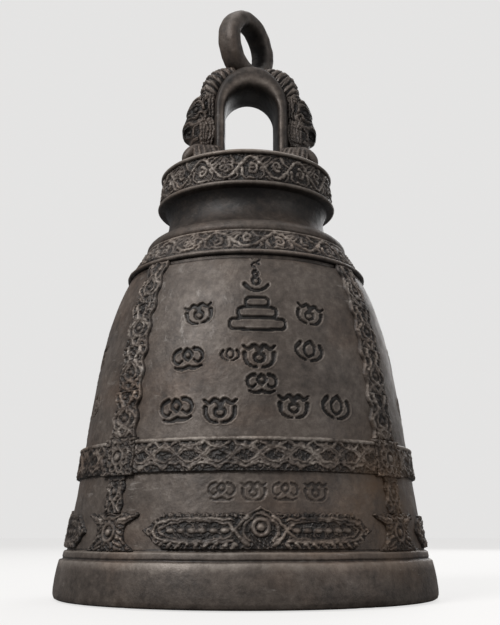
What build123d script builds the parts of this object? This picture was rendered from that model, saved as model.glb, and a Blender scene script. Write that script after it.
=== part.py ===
"""A cast bronze temple bell with a dragon yoke, a fixed hanging ring and a hung iron clapper.

Frame: millimetres, +Z up. The origin is the centre of the lip's bottom face, on which the bell
stands. The front panel faces -Y, and the yoke spans X. Azimuths are in degrees from +X.
"""

from build123d import *
from math import asin, cos, degrees, radians, sin
import os

# ---------------------------------------------------------------- driving dimensions: bell body
LIP_RADIUS = 75.0           # widest point of the lip
LIP_BULGE_Z = 5.0           # height of that widest point
LIP_FOOT_INSET = 0.9        # the resting face's outer edge lies this far inside the widest point
LIP_TOP_INSET = 1.8         # and the lip's top edge this far
LIP_HEIGHT = 14.6
LIP_THICKNESS = 8.0         # sound bow, measured at the resting face
LEDGE_RISE = 0.7            # slope of the two ledges over the lip
MOULDING_STEP = 1.5         # the moulding's foot lies this far inside the lip's top edge
MOULDING_DRAFT = 0.4
MOULDING_HEIGHT = 3.4
SKIRT_STEP = 1.2            # the wall leaves the moulding this far inside its top edge
WAIST_RADIUS = 65.5
WAIST_Z = 50.0
BELLY_RADIUS = 61.4
BELLY_Z = 80.0
UPPER_RADIUS = 55.4
UPPER_Z = 109.0
SHOULDER_RADIUS = 48.6
SHOULDER_Z = 126.0
HEAD_RADIUS = 41.2          # wall radius at the top of the shoulder
HEAD_Z = 138.0
OVOLO_RADIUS = 42.3         # moulding at the foot of the neck, at its fullest
OVOLO_FULL_RISE = 1.4       # height of that fullest point over the shoulder
OVOLO_TOP_RADIUS = 38.8
OVOLO_HEIGHT = 5.4
WALL_THICKNESS = 5.0
ROOF_THICKNESS = 6.4        # metal over the shoulder's cavity, round the neck's bore
ROOF_FILLET = 9.0

# ---------------------------------------------------------------- driving dimensions: crown
NECK_RADIUS = 33.4
NECK_FOOT_SETBACK = 1.2     # the neck's foot stands this far inside the ovolo's top edge
NECK_HEIGHT = 15.2          # foot of the neck to the underside of the disc
DISC_RADIUS = 38.2
DISC_HEIGHT = 15.2
DISC_DRAFT = 1.1            # the disc is this much smaller at its top edge
RIM_HEIGHT = 1.6            # plain rims above and below the crown band
CROWN_SEAT_DEPTH = 1.9      # depth of the seat between the rims
CROWN_BAND_THICKNESS = 1.1
DOME_RISE = 7.0
DOME_EDGE = 0.8             # fillet between the disc's rim and the dome
NECK_BORE_RADIUS = 27.5     # the bell's cavity goes on up into the neck
CEILING_THICKNESS = 5.0     # metal over the neck's bore, measured at the dome's edge
CEILING_FILLET = 6.0

# ---------------------------------------------------------------- driving dimensions: ornament
STRAP_AZIMUTH = 47.0        # straps stand this far to each side of the front and back centres
STRAP_HALF_ANGLE = 6.2
STRAP_THICKNESS = 1.5
STRAP_FLOOR = 0.9           # thickness of the strap's plate under its strands
STRAP_UNITS = 4             # drops along an upper strap
STRAP_LINE = 1.2            # width of a strand
STRAP_PINCH = 0.66          # the plate's half-width at its narrow places, as a share of the full
DROP_SHARE = 0.36           # half-width of the drop between the strands, as a share of the plate's
DROP_BEAD_RADIUS = 1.0
BAND_THICKNESS = 1.7        # waist band
BAND_EDGE = 1.5             # height of the rail along the band's top
BAND_FLOOR = 1.0
BAND_FOOT = 0.9             # height of the sharp foot along the band's lower edge
BAND_BOTTOM_Z = 44.6
BAND_TOP_Z = 56.4
BOSS_HALF_ANGLE = 7.4       # square boss where a strap crosses the waist band
BOSS_THICKNESS = 2.3
BOSS_OVERHANG = 1.0         # the boss stands this far above and below the band
BOSS_RING_RADIUS = 4.6
BOSS_RING_WIDTH = 1.2
BOSS_RING_RISE = 0.6
BOSS_DOME_RADIUS = 2.5
PETAL_RADIUS = 1.9
PETAL_REACH = 6.1           # petal centres stand this far out from the boss centre
TAB_WIDTH = 9.0             # scrolled tab under the boss
TAB_DROP = 1.9
SHORT_STRAP_HALF_ANGLE = 4.4
SHORT_STRAP_BOTTOM_Z = 31.2
FINIAL_TOP_Z = 31.0         # winged finial under each short strap
FINIAL_BOTTOM_Z = 18.3
FINIAL_WING = 13.2          # half-span of its wings
FINIAL_WING_DEPTH = 0.9     # how far under the top the wings' points lie
FINIAL_SHOULDER = 8.6       # half-width under the wings
FINIAL_SHOULDER_Z = 27.6
FINIAL_WAIST = 7.4
FINIAL_WAIST_Z = 23.4
FINIAL_BASE = 12.4
FINIAL_THICKNESS = 1.5
FINIAL_BOSS_RADIUS = 3.7
FINIAL_BOSS_Z = 24.4
CARTOUCHE_MARGIN = 12.9     # degrees between a strap's centre and the cartouche's tip
CARTOUCHE_BOTTOM_Z = 18.5
CARTOUCHE_TOP_Z = 31.4
CARTOUCHE_POINT = 7.0       # length of the pointed ends
CARTOUCHE_FRAME = 2.1       # width of the frame round the sunk panels
CARTOUCHE_THICKNESS = 1.6
CARTOUCHE_FLOOR = 0.8
CARTOUCHE_HUB = 8.6         # half-width of the solid middle that carries the rosette
CARTOUCHE_BAR = 2.2         # height of the long bar inside each sunk panel
ARCH_RISE = 2.0             # pointed arch over the middle rosette
ARCH_HALF_WIDTH = 5.2
HUB_BOSS_RADIUS = 3.2
HUB_BOSS_Z = 26.0
SHOULDER_BAND_THICKNESS = 1.3
SHOULDER_LIP = 2.0          # the cord along the band's lower edge stands this far off the wall
SHOULDER_LIP_HEIGHT = 2.2
SHOULDER_BAND_GAP = 0.2     # clearance under the ovolo

# ---------------------------------------------------------------- driving dimensions: yoke
YOKE_OFFSET = 1.5           # the yoke is set on a little to +X of the bell axis
YOKE_DEPTH = 24.0
YOKE_INNER_RADIUS = 11.0    # half-width of its opening
YOKE_LEG_THICKNESS = 5.2
YOKE_SPRING_Z = 204.3       # where the outside turns from the legs into the arch
YOKE_TOP_Z = 225.6
YOKE_SOFFIT_Z = 213.7       # top of the opening
YOKE_EDGE = 2.4             # rounding of the rib
FOOT_TOP_Z = 186.6
FOOT_REACH = 30.4           # how far out from the bell axis the toes come
FOOT_SPREAD = 3.4           # how far a foot spreads past the leg's front and back
FOOT_TAPER = 10
FOOT_EDGE = 1.0
FOOT_CORNER = 5.0
TOE_COUNT = 3
TOE_RADIUS = 2.7
TOE_LENGTH = 8.0
TOE_PITCH = 9.2
TOE_TIP_Z = 179.0
TOE_SLOPE = 38              # degrees that a toe leans down and outwards
TOE_STEP = 3.0              # how far the toes stand out of the foot
RING_RADIUS = 13.4          # hanging ring, to the middle of its bar
RING_THICKNESS = 7.3        # of the bar, outwards
RING_WIDTH = 9.1            # of the bar, along the ring's axis
RING_OUTER_EDGE = 3.0
RING_INNER_EDGE = 1.5
RING_SINK = 4.15            # how far the ring sits down into the arch
RING_YAW = 50.7
MANE_HALF_DEPTH = 8.0
MANE_START_X = 5.2          # where the mane begins, beside the ring
MANE_DROP = 0.7             # the mane's back starts this far under the arch's top
LOCK_COUNT = 7
LOCK_RADIUS = 2.3
LOCK_EDGE = 1.0             # rounding of a lock's ends
LOCK_SINK = 1.0             # a lock's centre lies this far inside the mane's back
HEAD_TOP_Z = 210.6          # where the mane meets the head
HEAD_REACH = 30.0           # foremost point of the hanging upper lip
HEAD_HALF_DEPTH = 8.6
SNOUT_HALF_DEPTH = 4.6
BROW_TOP_Z = 210.2
BROW_X = 25.8
NOSE_X = 28.5               # tip of the brow tuft, over the upper lip
NOSE_Z = 204.4
NOSE_GROOVE_Z = 202.0       # groove between the eye and the upper lip
NOSE_GROOVE_DEPTH = 1.1
LIP_TIP_Z = 191.9           # tip of the hanging upper lip
LIP_THICK = 1.7
MOUTH_X = 25.2              # middle of the hollow of the mouth behind the lip
MOUTH_Z = 195.0
MOUTH_HALF_WIDTH = 2.8
MOUTH_HALF_HEIGHT = 3.2
MOUTH_WEB = 2.2             # half-thickness of the tongue left between the two hollows
CHIN_X = 26.6
CHIN_Z = 191.2
THROAT_X = 23.5
EYE_RADIUS = 1.7
EYE_X = 24.0
BROW_EYE_Z = 204.6
CHEEK_X = 21.4
CHEEK_Z = 200.9
CHEEK_RADIUS = 2.1
CHEEK_BAR = 1.0
BEARD_COUNT = 4
BEARD_RADIUS = 1.25
BEARD_LENGTH = 11.0
BEARD_PITCH = 1.7
BEARD_X = 17.2              # innermost strand
BEARD_Z = 193.4             # middle of its length

# ---------------------------------------------------------------- driving dimensions: clapper
STAPLE_BAR = 2.5            # radius
STAPLE_HALF_WIDTH = 9.5     # leg centreline to the bell axis
STAPLE_DROP = 13.0          # ceiling to the bar's centreline
STAPLE_CORNER = 5.0
STAPLE_SOCKET = 4.0         # depth of its sockets in the ceiling
LINK_BAR = 2.0
LINK_LENGTH = 30.0          # between the centres of its end arcs' bars
LINK_RADIUS = 6.5           # centreline of its end arcs
HANG_CLEARANCE = 0.25       # gap between one hung bar and the next
EYE_BAR = 2.25
CLAPPER_EYE_RADIUS = 6.5
STEM_TOP_RADIUS = 2.6
STEM_FOOT_RADIUS = 3.4
BALL_RADIUS = 13.5
BALL_Z = 25.0
BALL_NECK_RADIUS = 5.6
BALL_NECK_RISE = 17.0       # collar over the ball's centre
TAIL_LENGTH = 5.0           # peened tail under the ball
TAIL_RADIUS = 4.6

# ---------------------------------------------------------------- worked out from the above
LIP_FOOT_RADIUS = LIP_RADIUS - LIP_FOOT_INSET
LIP_TOP_RADIUS = LIP_RADIUS - LIP_TOP_INSET
MOULDING_RADIUS = LIP_TOP_RADIUS - MOULDING_STEP
SKIRT_RADIUS = MOULDING_RADIUS - MOULDING_DRAFT - SKIRT_STEP
MOULDING_TOP_Z = LIP_HEIGHT + MOULDING_HEIGHT
BELL_TOP_Z = HEAD_Z + OVOLO_HEIGHT
ROOF_Z = BELL_TOP_Z - ROOF_THICKNESS
DISC_BOTTOM_Z = BELL_TOP_Z + NECK_HEIGHT
DISC_TOP_Z = DISC_BOTTOM_Z + DISC_HEIGHT
DOME_RADIUS = DISC_RADIUS - DISC_DRAFT - DOME_EDGE
CEILING_Z = DISC_TOP_Z - CEILING_THICKNESS
RING_Z = YOKE_TOP_Z - RING_SINK + RING_RADIUS + RING_THICKNESS / 2
LEG_X = YOKE_INNER_RADIUS + YOKE_LEG_THICKNESS
CORNERS = {
    "front_left": -90 - STRAP_AZIMUTH,
    "front_right": -90 + STRAP_AZIMUTH,
    "back_right": 90 - STRAP_AZIMUTH,
    "back_left": 90 + STRAP_AZIMUTH,
}
PANELS = {
    "front": (-90, STRAP_AZIMUTH),
    "right": (0, 90 - STRAP_AZIMUTH),
}


# ---------------------------------------------------------------- the wall and what lies on it
WALL = Spline(
    (SKIRT_RADIUS, MOULDING_TOP_Z),
    (WAIST_RADIUS, WAIST_Z),
    (BELLY_RADIUS, BELLY_Z),
    (UPPER_RADIUS, UPPER_Z),
    (SHOULDER_RADIUS, SHOULDER_Z),
    (HEAD_RADIUS, HEAD_Z),
)


def wall_radius(z):
    """Outer radius of the bare wall at height z, found by halving along the wall curve."""
    low, high = 0.0, 1.0
    for _ in range(30):
        middle = (low + high) / 2
        if (WALL @ middle).Y < z:
            low = middle
        else:
            high = middle
    return (WALL @ low).X


def skin_face(thickness, bottom_z, top_z):
    """Section of a skin on the wall, in (radius, height): the wall curve moved outwards."""
    outer = WALL.moved(Location((thickness, 0, 0)))
    whole = make_face(
        WALL + outer + Line(WALL @ 0, outer @ 0) + Line(WALL @ 1, outer @ 1)
    )
    slab = Pos(HEAD_RADIUS, (bottom_z + top_z) / 2) * Rectangle(
        4 * LIP_RADIUS, top_z - bottom_z
    )
    return whole & slab


def turn(face, azimuth, half_angle):
    """Revolves a (radius, height) section about the bell axis, centred on an azimuth."""
    solid = revolve(Plane.XZ * face, Axis.Z, revolution_arc=2 * half_angle)
    return Rot(0, 0, azimuth - half_angle) * solid


def turn_full(face):
    """Revolves a (radius, height) section all the way round."""
    return revolve(Plane.XZ * face, Axis.Z)


def on_wall(outline, azimuth, thickness, bottom_z, top_z):
    """An outline, drawn as (width, height) facing the bell, raised off the wall by a thickness."""
    half_width = max(abs(v.X) for v in outline.vertices())
    reach = degrees(asin(min(0.99, half_width / wall_radius(top_z)))) + 3
    facing = Plane(
        origin=(0, 0, 0),
        x_dir=(-sin(radians(azimuth)), cos(radians(azimuth)), 0),
        z_dir=(cos(radians(azimuth)), sin(radians(azimuth)), 0),
    )
    prism = extrude(facing * outline, 2 * LIP_RADIUS)
    return prism & turn(skin_face(thickness, bottom_z, top_z), azimuth, reach)


def one_solid(*shapes):
    """Fuses shapes into one part."""
    fused = shapes[0]
    for shape in shapes[1:]:
        fused = fused + shape
    return fused


def main_solid(shape):
    """The largest solid of a shape, without the slivers that a cut leaves."""
    return shape.solids().sort_by(SortBy.VOLUME)[-1]


def strand(points, width):
    """A line of even width drawn smoothly through the given points."""
    return trace(Spline(*points), width)


def mirrored_outline(points):
    """A closed polygon from its right half, listed from top to bottom."""
    left = [(-x, z) for x, z in reversed(points) if x > 0]
    return make_face(Polyline(*points, *left, close=True))


# ---------------------------------------------------------------- bell body
def bell_shell():
    """Lip, moulding, wall, roof and the ovolo round the neck, hollow and open into the neck."""
    ledge_z = LIP_HEIGHT + LEDGE_RISE
    upper_ledge_z = MOULDING_TOP_Z - LEDGE_RISE
    full_z = HEAD_Z + OVOLO_FULL_RISE
    lip = ThreePointArc(
        (LIP_FOOT_RADIUS, 0), (LIP_RADIUS, LIP_BULGE_Z), (LIP_TOP_RADIUS, LIP_HEIGHT)
    )
    ledges = Polyline(
        (LIP_TOP_RADIUS, LIP_HEIGHT),
        (MOULDING_RADIUS, ledge_z),
        (MOULDING_RADIUS - MOULDING_DRAFT, upper_ledge_z),
        (SKIRT_RADIUS, MOULDING_TOP_Z),
    )
    ovolo = Spline(
        (HEAD_RADIUS, HEAD_Z),
        (OVOLO_RADIUS, full_z),
        (OVOLO_TOP_RADIUS, BELL_TOP_Z),
        tangents=[(1, 0.3), (-1, 0.3)],
    )
    inside = Polyline((OVOLO_TOP_RADIUS, BELL_TOP_Z), (0, BELL_TOP_Z), (0, 0), (LIP_FOOT_RADIUS, 0))
    body = make_face(lip + ledges + WALL + ovolo + inside)

    bore = WALL.moved(Location((-WALL_THICKNESS, 0, 0)))
    mouth_radius = LIP_FOOT_RADIUS - LIP_THICKNESS
    bow = Line((mouth_radius, 0), bore @ 0)
    column = Polyline(bore @ 1, (0, HEAD_Z), (0, 0), (mouth_radius, 0))
    under_roof = Pos(0, ROOF_Z / 2) * Rectangle(4 * LIP_RADIUS, ROOF_Z)
    hollow = turn_full(make_face(bore + bow + column) & under_roof)
    roof_edge = hollow.edges().filter_by_position(Axis.Z, ROOF_Z - 0.01, ROOF_Z + 0.01)
    hollow = fillet(roof_edge.filter_by(GeomType.CIRCLE), ROOF_FILLET)
    return turn_full(body) - hollow - neck_bore()


def neck_bore():
    """The cavity's upper part, from the shoulder up through the neck to the ceiling."""
    height = CEILING_Z - HEAD_Z
    bore = Pos(0, 0, HEAD_Z + height / 2 - 5) * Cylinder(NECK_BORE_RADIUS, height + 10)
    top = bore.edges().filter_by_position(Axis.Z, CEILING_Z - 0.01, CEILING_Z + 0.01)
    return fillet(top, CEILING_FILLET)


def shoulder_band():
    """Ring of ornament over the shoulder, with a thick cord along its overhanging lower edge."""
    band = skin_face(SHOULDER_BAND_THICKNESS, SHOULDER_Z, HEAD_Z - SHOULDER_BAND_GAP)
    cord = skin_face(SHOULDER_LIP, SHOULDER_Z, SHOULDER_Z + SHOULDER_LIP_HEIGHT)
    return turn_full(band + cord)


def waist_band(azimuth, panel_half_angle):
    """A run of the waist band between two bosses: a floor between a high rail and a sharp foot."""
    half = panel_half_angle - BOSS_HALF_ANGLE
    floor = skin_face(BAND_FLOOR, BAND_BOTTOM_Z, BAND_TOP_Z)
    rail = skin_face(BAND_THICKNESS, BAND_TOP_Z - BAND_EDGE, BAND_TOP_Z)
    foot = skin_face(BAND_THICKNESS, BAND_BOTTOM_Z, BAND_BOTTOM_Z + BAND_FOOT)
    return turn(floor + rail + foot, azimuth, half)


def crossing_boss(azimuth):
    """Square boss where strap and waist band cross: ring, middle dome, four petals and a tab."""
    bottom_z = BAND_BOTTOM_Z - BOSS_OVERHANG
    top_z = BAND_TOP_Z + BOSS_OVERHANG
    middle_z = (bottom_z + top_z) / 2
    plate = turn(skin_face(BOSS_THICKNESS, bottom_z, top_z), azimuth, BOSS_HALF_ANGLE)
    tab_z = bottom_z - TAB_DROP
    tab = Pos(0, bottom_z - TAB_DROP / 2) * Rectangle(TAB_WIDTH, TAB_DROP)
    ring = Pos(0, middle_z) * (
        Circle(BOSS_RING_RADIUS) - Circle(BOSS_RING_RADIUS - BOSS_RING_WIDTH)
    )
    raised = BOSS_THICKNESS + BOSS_RING_RISE
    dome = Pos(0, middle_z) * Circle(BOSS_DOME_RADIUS)
    boss = one_solid(
        plate,
        on_wall(tab, azimuth, STRAP_THICKNESS, tab_z, bottom_z),
        on_wall(ring, azimuth, raised, bottom_z, top_z),
        on_wall(dome, azimuth, raised, bottom_z, top_z),
    )
    for quarter in (45, 135, 225, 315):
        spot = (PETAL_REACH * cos(radians(quarter)), middle_z + PETAL_REACH * sin(radians(quarter)))
        boss += on_wall(Pos(*spot) * Circle(PETAL_RADIUS), azimuth, raised, bottom_z, top_z)
    return boss


def strap_unit(bottom_z, pitch, half_angle):
    """Outlines of one unit of a strap: half of its scalloped plate, one of its two strands, and
    the drop between them with a bead over it."""

    def spot(share_out, share_up):
        z = bottom_z + share_up * pitch
        return (share_out * wall_radius(z) * sin(radians(half_angle)), z)

    edge = Spline(
        spot(STRAP_PINCH, 0), spot(1, 0.38), spot(STRAP_PINCH, 0.74), spot(1, 0.94), spot(STRAP_PINCH, 1)
    )
    plate = make_face(edge + Polyline(edge @ 1, (0, bottom_z + pitch), (0, bottom_z), edge @ 0))
    line = strand(
        [spot(0.2, 0.02), spot(0.72, 0.26), spot(0.72, 0.46), spot(0.28, 0.72), spot(0.55, 0.97)], STRAP_LINE
    )
    drop = mirrored_outline([spot(0, 0.62), spot(DROP_SHARE, 0.38), spot(0, 0.2)])
    bead = Pos(*spot(0, 0.88)) * Circle(DROP_BEAD_RADIUS)
    return plate + plate.mirror(Plane.YZ), line + line.mirror(Plane.YZ) + drop + bead


def strap(azimuth, bottom_z, top_z, half_angle, count):
    """Upright strap of repeated units, each a scalloped plate under a pair of strands."""
    pitch = (top_z - bottom_z) / count
    plate, lines = strap_unit(bottom_z, pitch, half_angle)
    for n in range(1, count):
        more_plate, more_lines = strap_unit(bottom_z + n * pitch, pitch, half_angle)
        plate = plate + more_plate
        lines = lines + more_lines
    floor = on_wall(plate, azimuth, STRAP_FLOOR, bottom_z, top_z)
    return floor + on_wall(lines & plate, azimuth, STRAP_THICKNESS, bottom_z, top_z)


def finial(azimuth):
    """Winged finial under a short strap, drawn in to a waist and spread again at its foot."""
    side = Spline(
        (FINIAL_WING, FINIAL_TOP_Z - FINIAL_WING_DEPTH),
        (FINIAL_SHOULDER, FINIAL_SHOULDER_Z),
        (FINIAL_WAIST, FINIAL_WAIST_Z),
        (FINIAL_BASE, FINIAL_BOTTOM_Z),
    )
    other = side.mirror(Plane.YZ)
    top = Polyline(side @ 0, (FINIAL_WING / 2, FINIAL_TOP_Z), (-FINIAL_WING / 2, FINIAL_TOP_Z), other @ 0)
    outline = make_face(side + other + top + Line(side @ 1, other @ 1))
    body = on_wall(outline, azimuth, FINIAL_THICKNESS, FINIAL_BOTTOM_Z, FINIAL_TOP_Z)
    boss = Pos(0, FINIAL_BOSS_Z) * Circle(FINIAL_BOSS_RADIUS)
    return body + on_wall(
        boss, azimuth, FINIAL_THICKNESS + BOSS_RING_RISE, FINIAL_BOTTOM_Z, FINIAL_TOP_Z
    )


def cartouche(azimuth, panel_half_angle):
    """Long pointed cartouche over the lip: a frame, two sunk panels with a bar in each, and a
    rosette under a small pointed arch."""
    middle_z = (CARTOUCHE_BOTTOM_Z + CARTOUCHE_TOP_Z) / 2
    tip = wall_radius(middle_z) * sin(radians(panel_half_angle - CARTOUCHE_MARGIN))
    root = tip - CARTOUCHE_POINT
    arch_z = CARTOUCHE_TOP_Z + ARCH_RISE
    outline = mirrored_outline(
        [
            (0, arch_z),
            (ARCH_HALF_WIDTH, CARTOUCHE_TOP_Z),
            (root, CARTOUCHE_TOP_Z),
            (tip, middle_z),
            (root, CARTOUCHE_BOTTOM_Z),
        ]
    )
    inset = CARTOUCHE_FRAME
    panel_root = root - inset / 2
    panel = make_face(
        Polyline(
            (CARTOUCHE_HUB, CARTOUCHE_BOTTOM_Z + inset),
            (panel_root, CARTOUCHE_BOTTOM_Z + inset),
            (panel_root + CARTOUCHE_POINT * 0.6, middle_z),
            (panel_root, CARTOUCHE_TOP_Z - inset),
            (CARTOUCHE_HUB, CARTOUCHE_TOP_Z - inset),
            close=True,
        )
    )
    bar = Pos((CARTOUCHE_HUB + panel_root) / 2 + 1, middle_z) * SlotOverall(
        panel_root - CARTOUCHE_HUB - inset, CARTOUCHE_BAR
    )
    frame = outline - panel - panel.mirror(Plane.YZ)
    limits = (CARTOUCHE_BOTTOM_Z, arch_z)
    piece = one_solid(
        on_wall(outline, azimuth, CARTOUCHE_FLOOR, *limits),
        on_wall(frame, azimuth, CARTOUCHE_THICKNESS, *limits),
        on_wall(bar + bar.mirror(Plane.YZ), azimuth, CARTOUCHE_THICKNESS, *limits),
        on_wall(
            Pos(0, HUB_BOSS_Z) * Circle(HUB_BOSS_RADIUS), azimuth, CARTOUCHE_THICKNESS + BOSS_RING_RISE, *limits
        ),
    )
    return piece


# ---------------------------------------------------------------- crown
def dome_line():
    """The dome's section, from the bell axis out to the disc's top edge."""
    top = (0, DISC_TOP_Z + DOME_RISE)
    return ThreePointArc((-DOME_RADIUS, DISC_TOP_Z), top, (DOME_RADIUS, DISC_TOP_Z)).trim(0.5, 1)


def crown_cap():
    """Neck and banded disc under a low dome, bored from below, with the staple's sockets."""
    seat_low = DISC_BOTTOM_Z + RIM_HEIGHT
    seat_high = DISC_TOP_Z - RIM_HEIGHT
    foot_radius = OVOLO_TOP_RADIUS - NECK_FOOT_SETBACK
    neck_top_z = DISC_BOTTOM_Z - NECK_HEIGHT / 4
    neck = ThreePointArc(
        (foot_radius, BELL_TOP_Z),
        (NECK_RADIUS + 0.6, BELL_TOP_Z + NECK_HEIGHT * 0.3),
        (NECK_RADIUS, neck_top_z),
    )
    top_radius = DISC_RADIUS - DISC_DRAFT
    edge = Polyline(
        (NECK_RADIUS, neck_top_z),
        (NECK_RADIUS + 1.5, DISC_BOTTOM_Z - 0.6),
        (DISC_RADIUS - 0.6, DISC_BOTTOM_Z),
        (DISC_RADIUS, DISC_BOTTOM_Z + RIM_HEIGHT / 2),
        (DISC_RADIUS - 0.4, seat_low),
        (DISC_RADIUS - CROWN_SEAT_DEPTH, seat_low),
        (top_radius - CROWN_SEAT_DEPTH, seat_high),
        (top_radius - 0.2, seat_high),
        (top_radius, DISC_TOP_Z - RIM_HEIGHT / 2),
        (DOME_RADIUS, DISC_TOP_Z),
    )
    dome = dome_line()
    inside = Polyline(dome @ 0, (0, BELL_TOP_Z), (foot_radius, BELL_TOP_Z))
    cap = turn_full(make_face(neck + edge + dome + inside))
    return cap - neck_bore() - staple_legs(CEILING_Z - 1, CEILING_Z + STAPLE_SOCKET)


def crown_band():
    """Ring of ornament seated between the disc's two rims."""
    seat_low = DISC_BOTTOM_Z + RIM_HEIGHT
    seat_high = DISC_TOP_Z - RIM_HEIGHT
    low = DISC_RADIUS - CROWN_SEAT_DEPTH
    high = low - DISC_DRAFT
    thick = CROWN_BAND_THICKNESS
    section = Polyline(
        (low, seat_low), (low + thick, seat_low), (high + thick, seat_high), (high, seat_high), close=True
    )
    return turn_full(make_face(section))


# ---------------------------------------------------------------- yoke
def arch_profile(half_width, spring_z, top_z, foot_z):
    """Outline of an arch on straight legs, as (x, height)."""
    head = EllipticalCenterArc((0, spring_z), half_width, top_z - spring_z, start_angle=0, arc_size=180)
    legs = Polyline((-half_width, spring_z), (-half_width, foot_z), (half_width, foot_z), (half_width, spring_z))
    return make_face(head + legs)


def across(face, depth):
    """Extrudes an (x, height) outline by a depth along Y, half to each side."""
    return extrude(Plane.XZ * face, depth / 2, both=True)


def set_on(piece, side):
    """Puts a piece of the yoke's right half on one side of the yoke, clear of crown and ring."""
    turned = piece if side > 0 else piece.mirror(Plane.YZ)
    return main_solid(Pos(YOKE_OFFSET, 0, 0) * turned - crown_block() - hanging_ring())


def hanging_ring():
    """Heavy round ring with a flat-sided bar, turned about the bell axis and sunk in the arch."""
    bar = Pos(RING_RADIUS, 0) * Rectangle(RING_THICKNESS, RING_WIDTH)
    bar = fillet(bar.vertices().group_by(Axis.X)[-1], RING_OUTER_EDGE)
    bar = fillet(bar.vertices().group_by(Axis.X)[0], RING_INNER_EDGE)
    return Pos(0, 0, RING_Z) * Rot(0, 0, RING_YAW) * Rot(90, 0, 0) * turn_full(bar)


def crown_block():
    """Solid under the crown's dome, to cut what stands on it."""
    dome = dome_line()
    under = Polyline(dome @ 1, (DOME_RADIUS, BELL_TOP_Z), (0, BELL_TOP_Z), dome @ 0)
    return turn_full(make_face(dome + under))


def toe(y):
    """A toe that leans down and outwards, round at its tip."""
    bar = Cylinder(TOE_RADIUS, TOE_LENGTH) + Pos(0, 0, -TOE_LENGTH / 2) * Sphere(TOE_RADIUS)
    lean = Rot(0, TOE_SLOPE - 90, 0) * Pos(0, 0, TOE_LENGTH / 2) * bar
    return Pos(FOOT_REACH - TOE_RADIUS, y, TOE_TIP_Z) * lean


def yoke_foot(side):
    """Tapered foot round one leg of the yoke, with toes, cut to the dome that it stands on."""
    inner_x = YOKE_INNER_RADIUS + side * YOKE_OFFSET
    outer_x = FOOT_REACH - TOE_STEP
    plan = RectangleRounded(outer_x - inner_x, YOKE_DEPTH + 2 * FOOT_SPREAD, FOOT_CORNER)
    foot_height = FOOT_TOP_Z - DISC_TOP_Z
    foot = extrude(Pos((outer_x + inner_x) / 2, 0, DISC_TOP_Z) * plan, foot_height, taper=FOOT_TAPER)
    foot = fillet(foot.faces().sort_by(Axis.Z)[-1].edges(), FOOT_EDGE)
    for n in range(TOE_COUNT):
        foot += toe((n - (TOE_COUNT - 1) / 2) * TOE_PITCH)
    leg = Box(YOKE_LEG_THICKNESS, YOKE_DEPTH, 4 * foot_height)
    foot = foot - Pos(inner_x + YOKE_LEG_THICKNESS / 2, 0, DISC_TOP_Z) * leg - crown_block()
    return foot if side > 0 else foot.mirror(Plane.YZ)


def yoke_arch():
    """Smooth rounded rib of the yoke, with a saddle for the ring in its top."""
    outer = arch_profile(LEG_X, YOKE_SPRING_Z, YOKE_TOP_Z, FOOT_TOP_Z)
    inner_spring_z = YOKE_SOFFIT_Z - YOKE_INNER_RADIUS
    inner = arch_profile(YOKE_INNER_RADIUS, inner_spring_z, YOKE_SOFFIT_Z, FOOT_TOP_Z - 1)
    rib = across(outer - inner, YOKE_DEPTH)
    ends = rib.edges().filter_by_position(Axis.Z, FOOT_TOP_Z + 0.1, YOKE_TOP_Z + 1)
    ends = [e for e in ends if abs(abs(e.center().Y) - YOKE_DEPTH / 2) < 0.01]
    rib = fillet(ends, YOKE_EDGE)
    leg_height = FOOT_TOP_Z - DISC_TOP_Z
    leg = Box(YOKE_LEG_THICKNESS, YOKE_DEPTH, leg_height)
    for side in (-1, 1):
        rib += Pos(side * (LEG_X - YOKE_LEG_THICKNESS / 2), 0, DISC_TOP_Z + leg_height / 2) * leg
    return set_on(rib, 1)


def yoke_block():
    """Outline of the yoke's rib with its opening filled in, to seat the dragons against."""
    outer = arch_profile(LEG_X, YOKE_SPRING_Z, YOKE_TOP_Z, FOOT_TOP_Z - 1)
    return across(outer, 2 * YOKE_DEPTH)


def dragon_mane(side):
    """Mane over one shoulder of the arch, from the ring to the head: a row of fat locks that lie
    across its back."""
    back = Spline(
        (MANE_START_X, YOKE_TOP_Z - MANE_DROP),
        (LEG_X - 2.2, YOKE_TOP_Z - 0.5),
        (LEG_X + 1.4, YOKE_TOP_Z - 2.3),
        (LEG_X + 3.7, YOKE_TOP_Z - 5.3),
        (LEG_X + 5.0, YOKE_TOP_Z - 9.5),
        (LEG_X + 5.7, HEAD_TOP_Z),
    )
    under = Polyline(back @ 1, (LEG_X - 1.2, HEAD_TOP_Z), (MANE_START_X, YOKE_SOFFIT_Z), back @ 0)
    mane = across(make_face(back + under), 2 * MANE_HALF_DEPTH)
    lock = Rot(90, 0, 0) * Cylinder(LOCK_RADIUS, 2 * (MANE_HALF_DEPTH + LOCK_EDGE))
    lock = fillet(lock.edges().filter_by(GeomType.CIRCLE), LOCK_EDGE)
    for n in range(LOCK_COUNT):
        share = (n + 0.5) / LOCK_COUNT
        spot = back @ share
        along = back % share
        mane += Pos(spot.X + LOCK_SINK * along.Y, 0, spot.Y - LOCK_SINK * along.X) * lock
    over_head = Pos(0, 0, HEAD_TOP_Z + LIP_RADIUS) * Box(4 * LIP_RADIUS, 4 * LIP_RADIUS, 2 * LIP_RADIUS)
    return set_on((mane & over_head) - yoke_block(), side)


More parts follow.
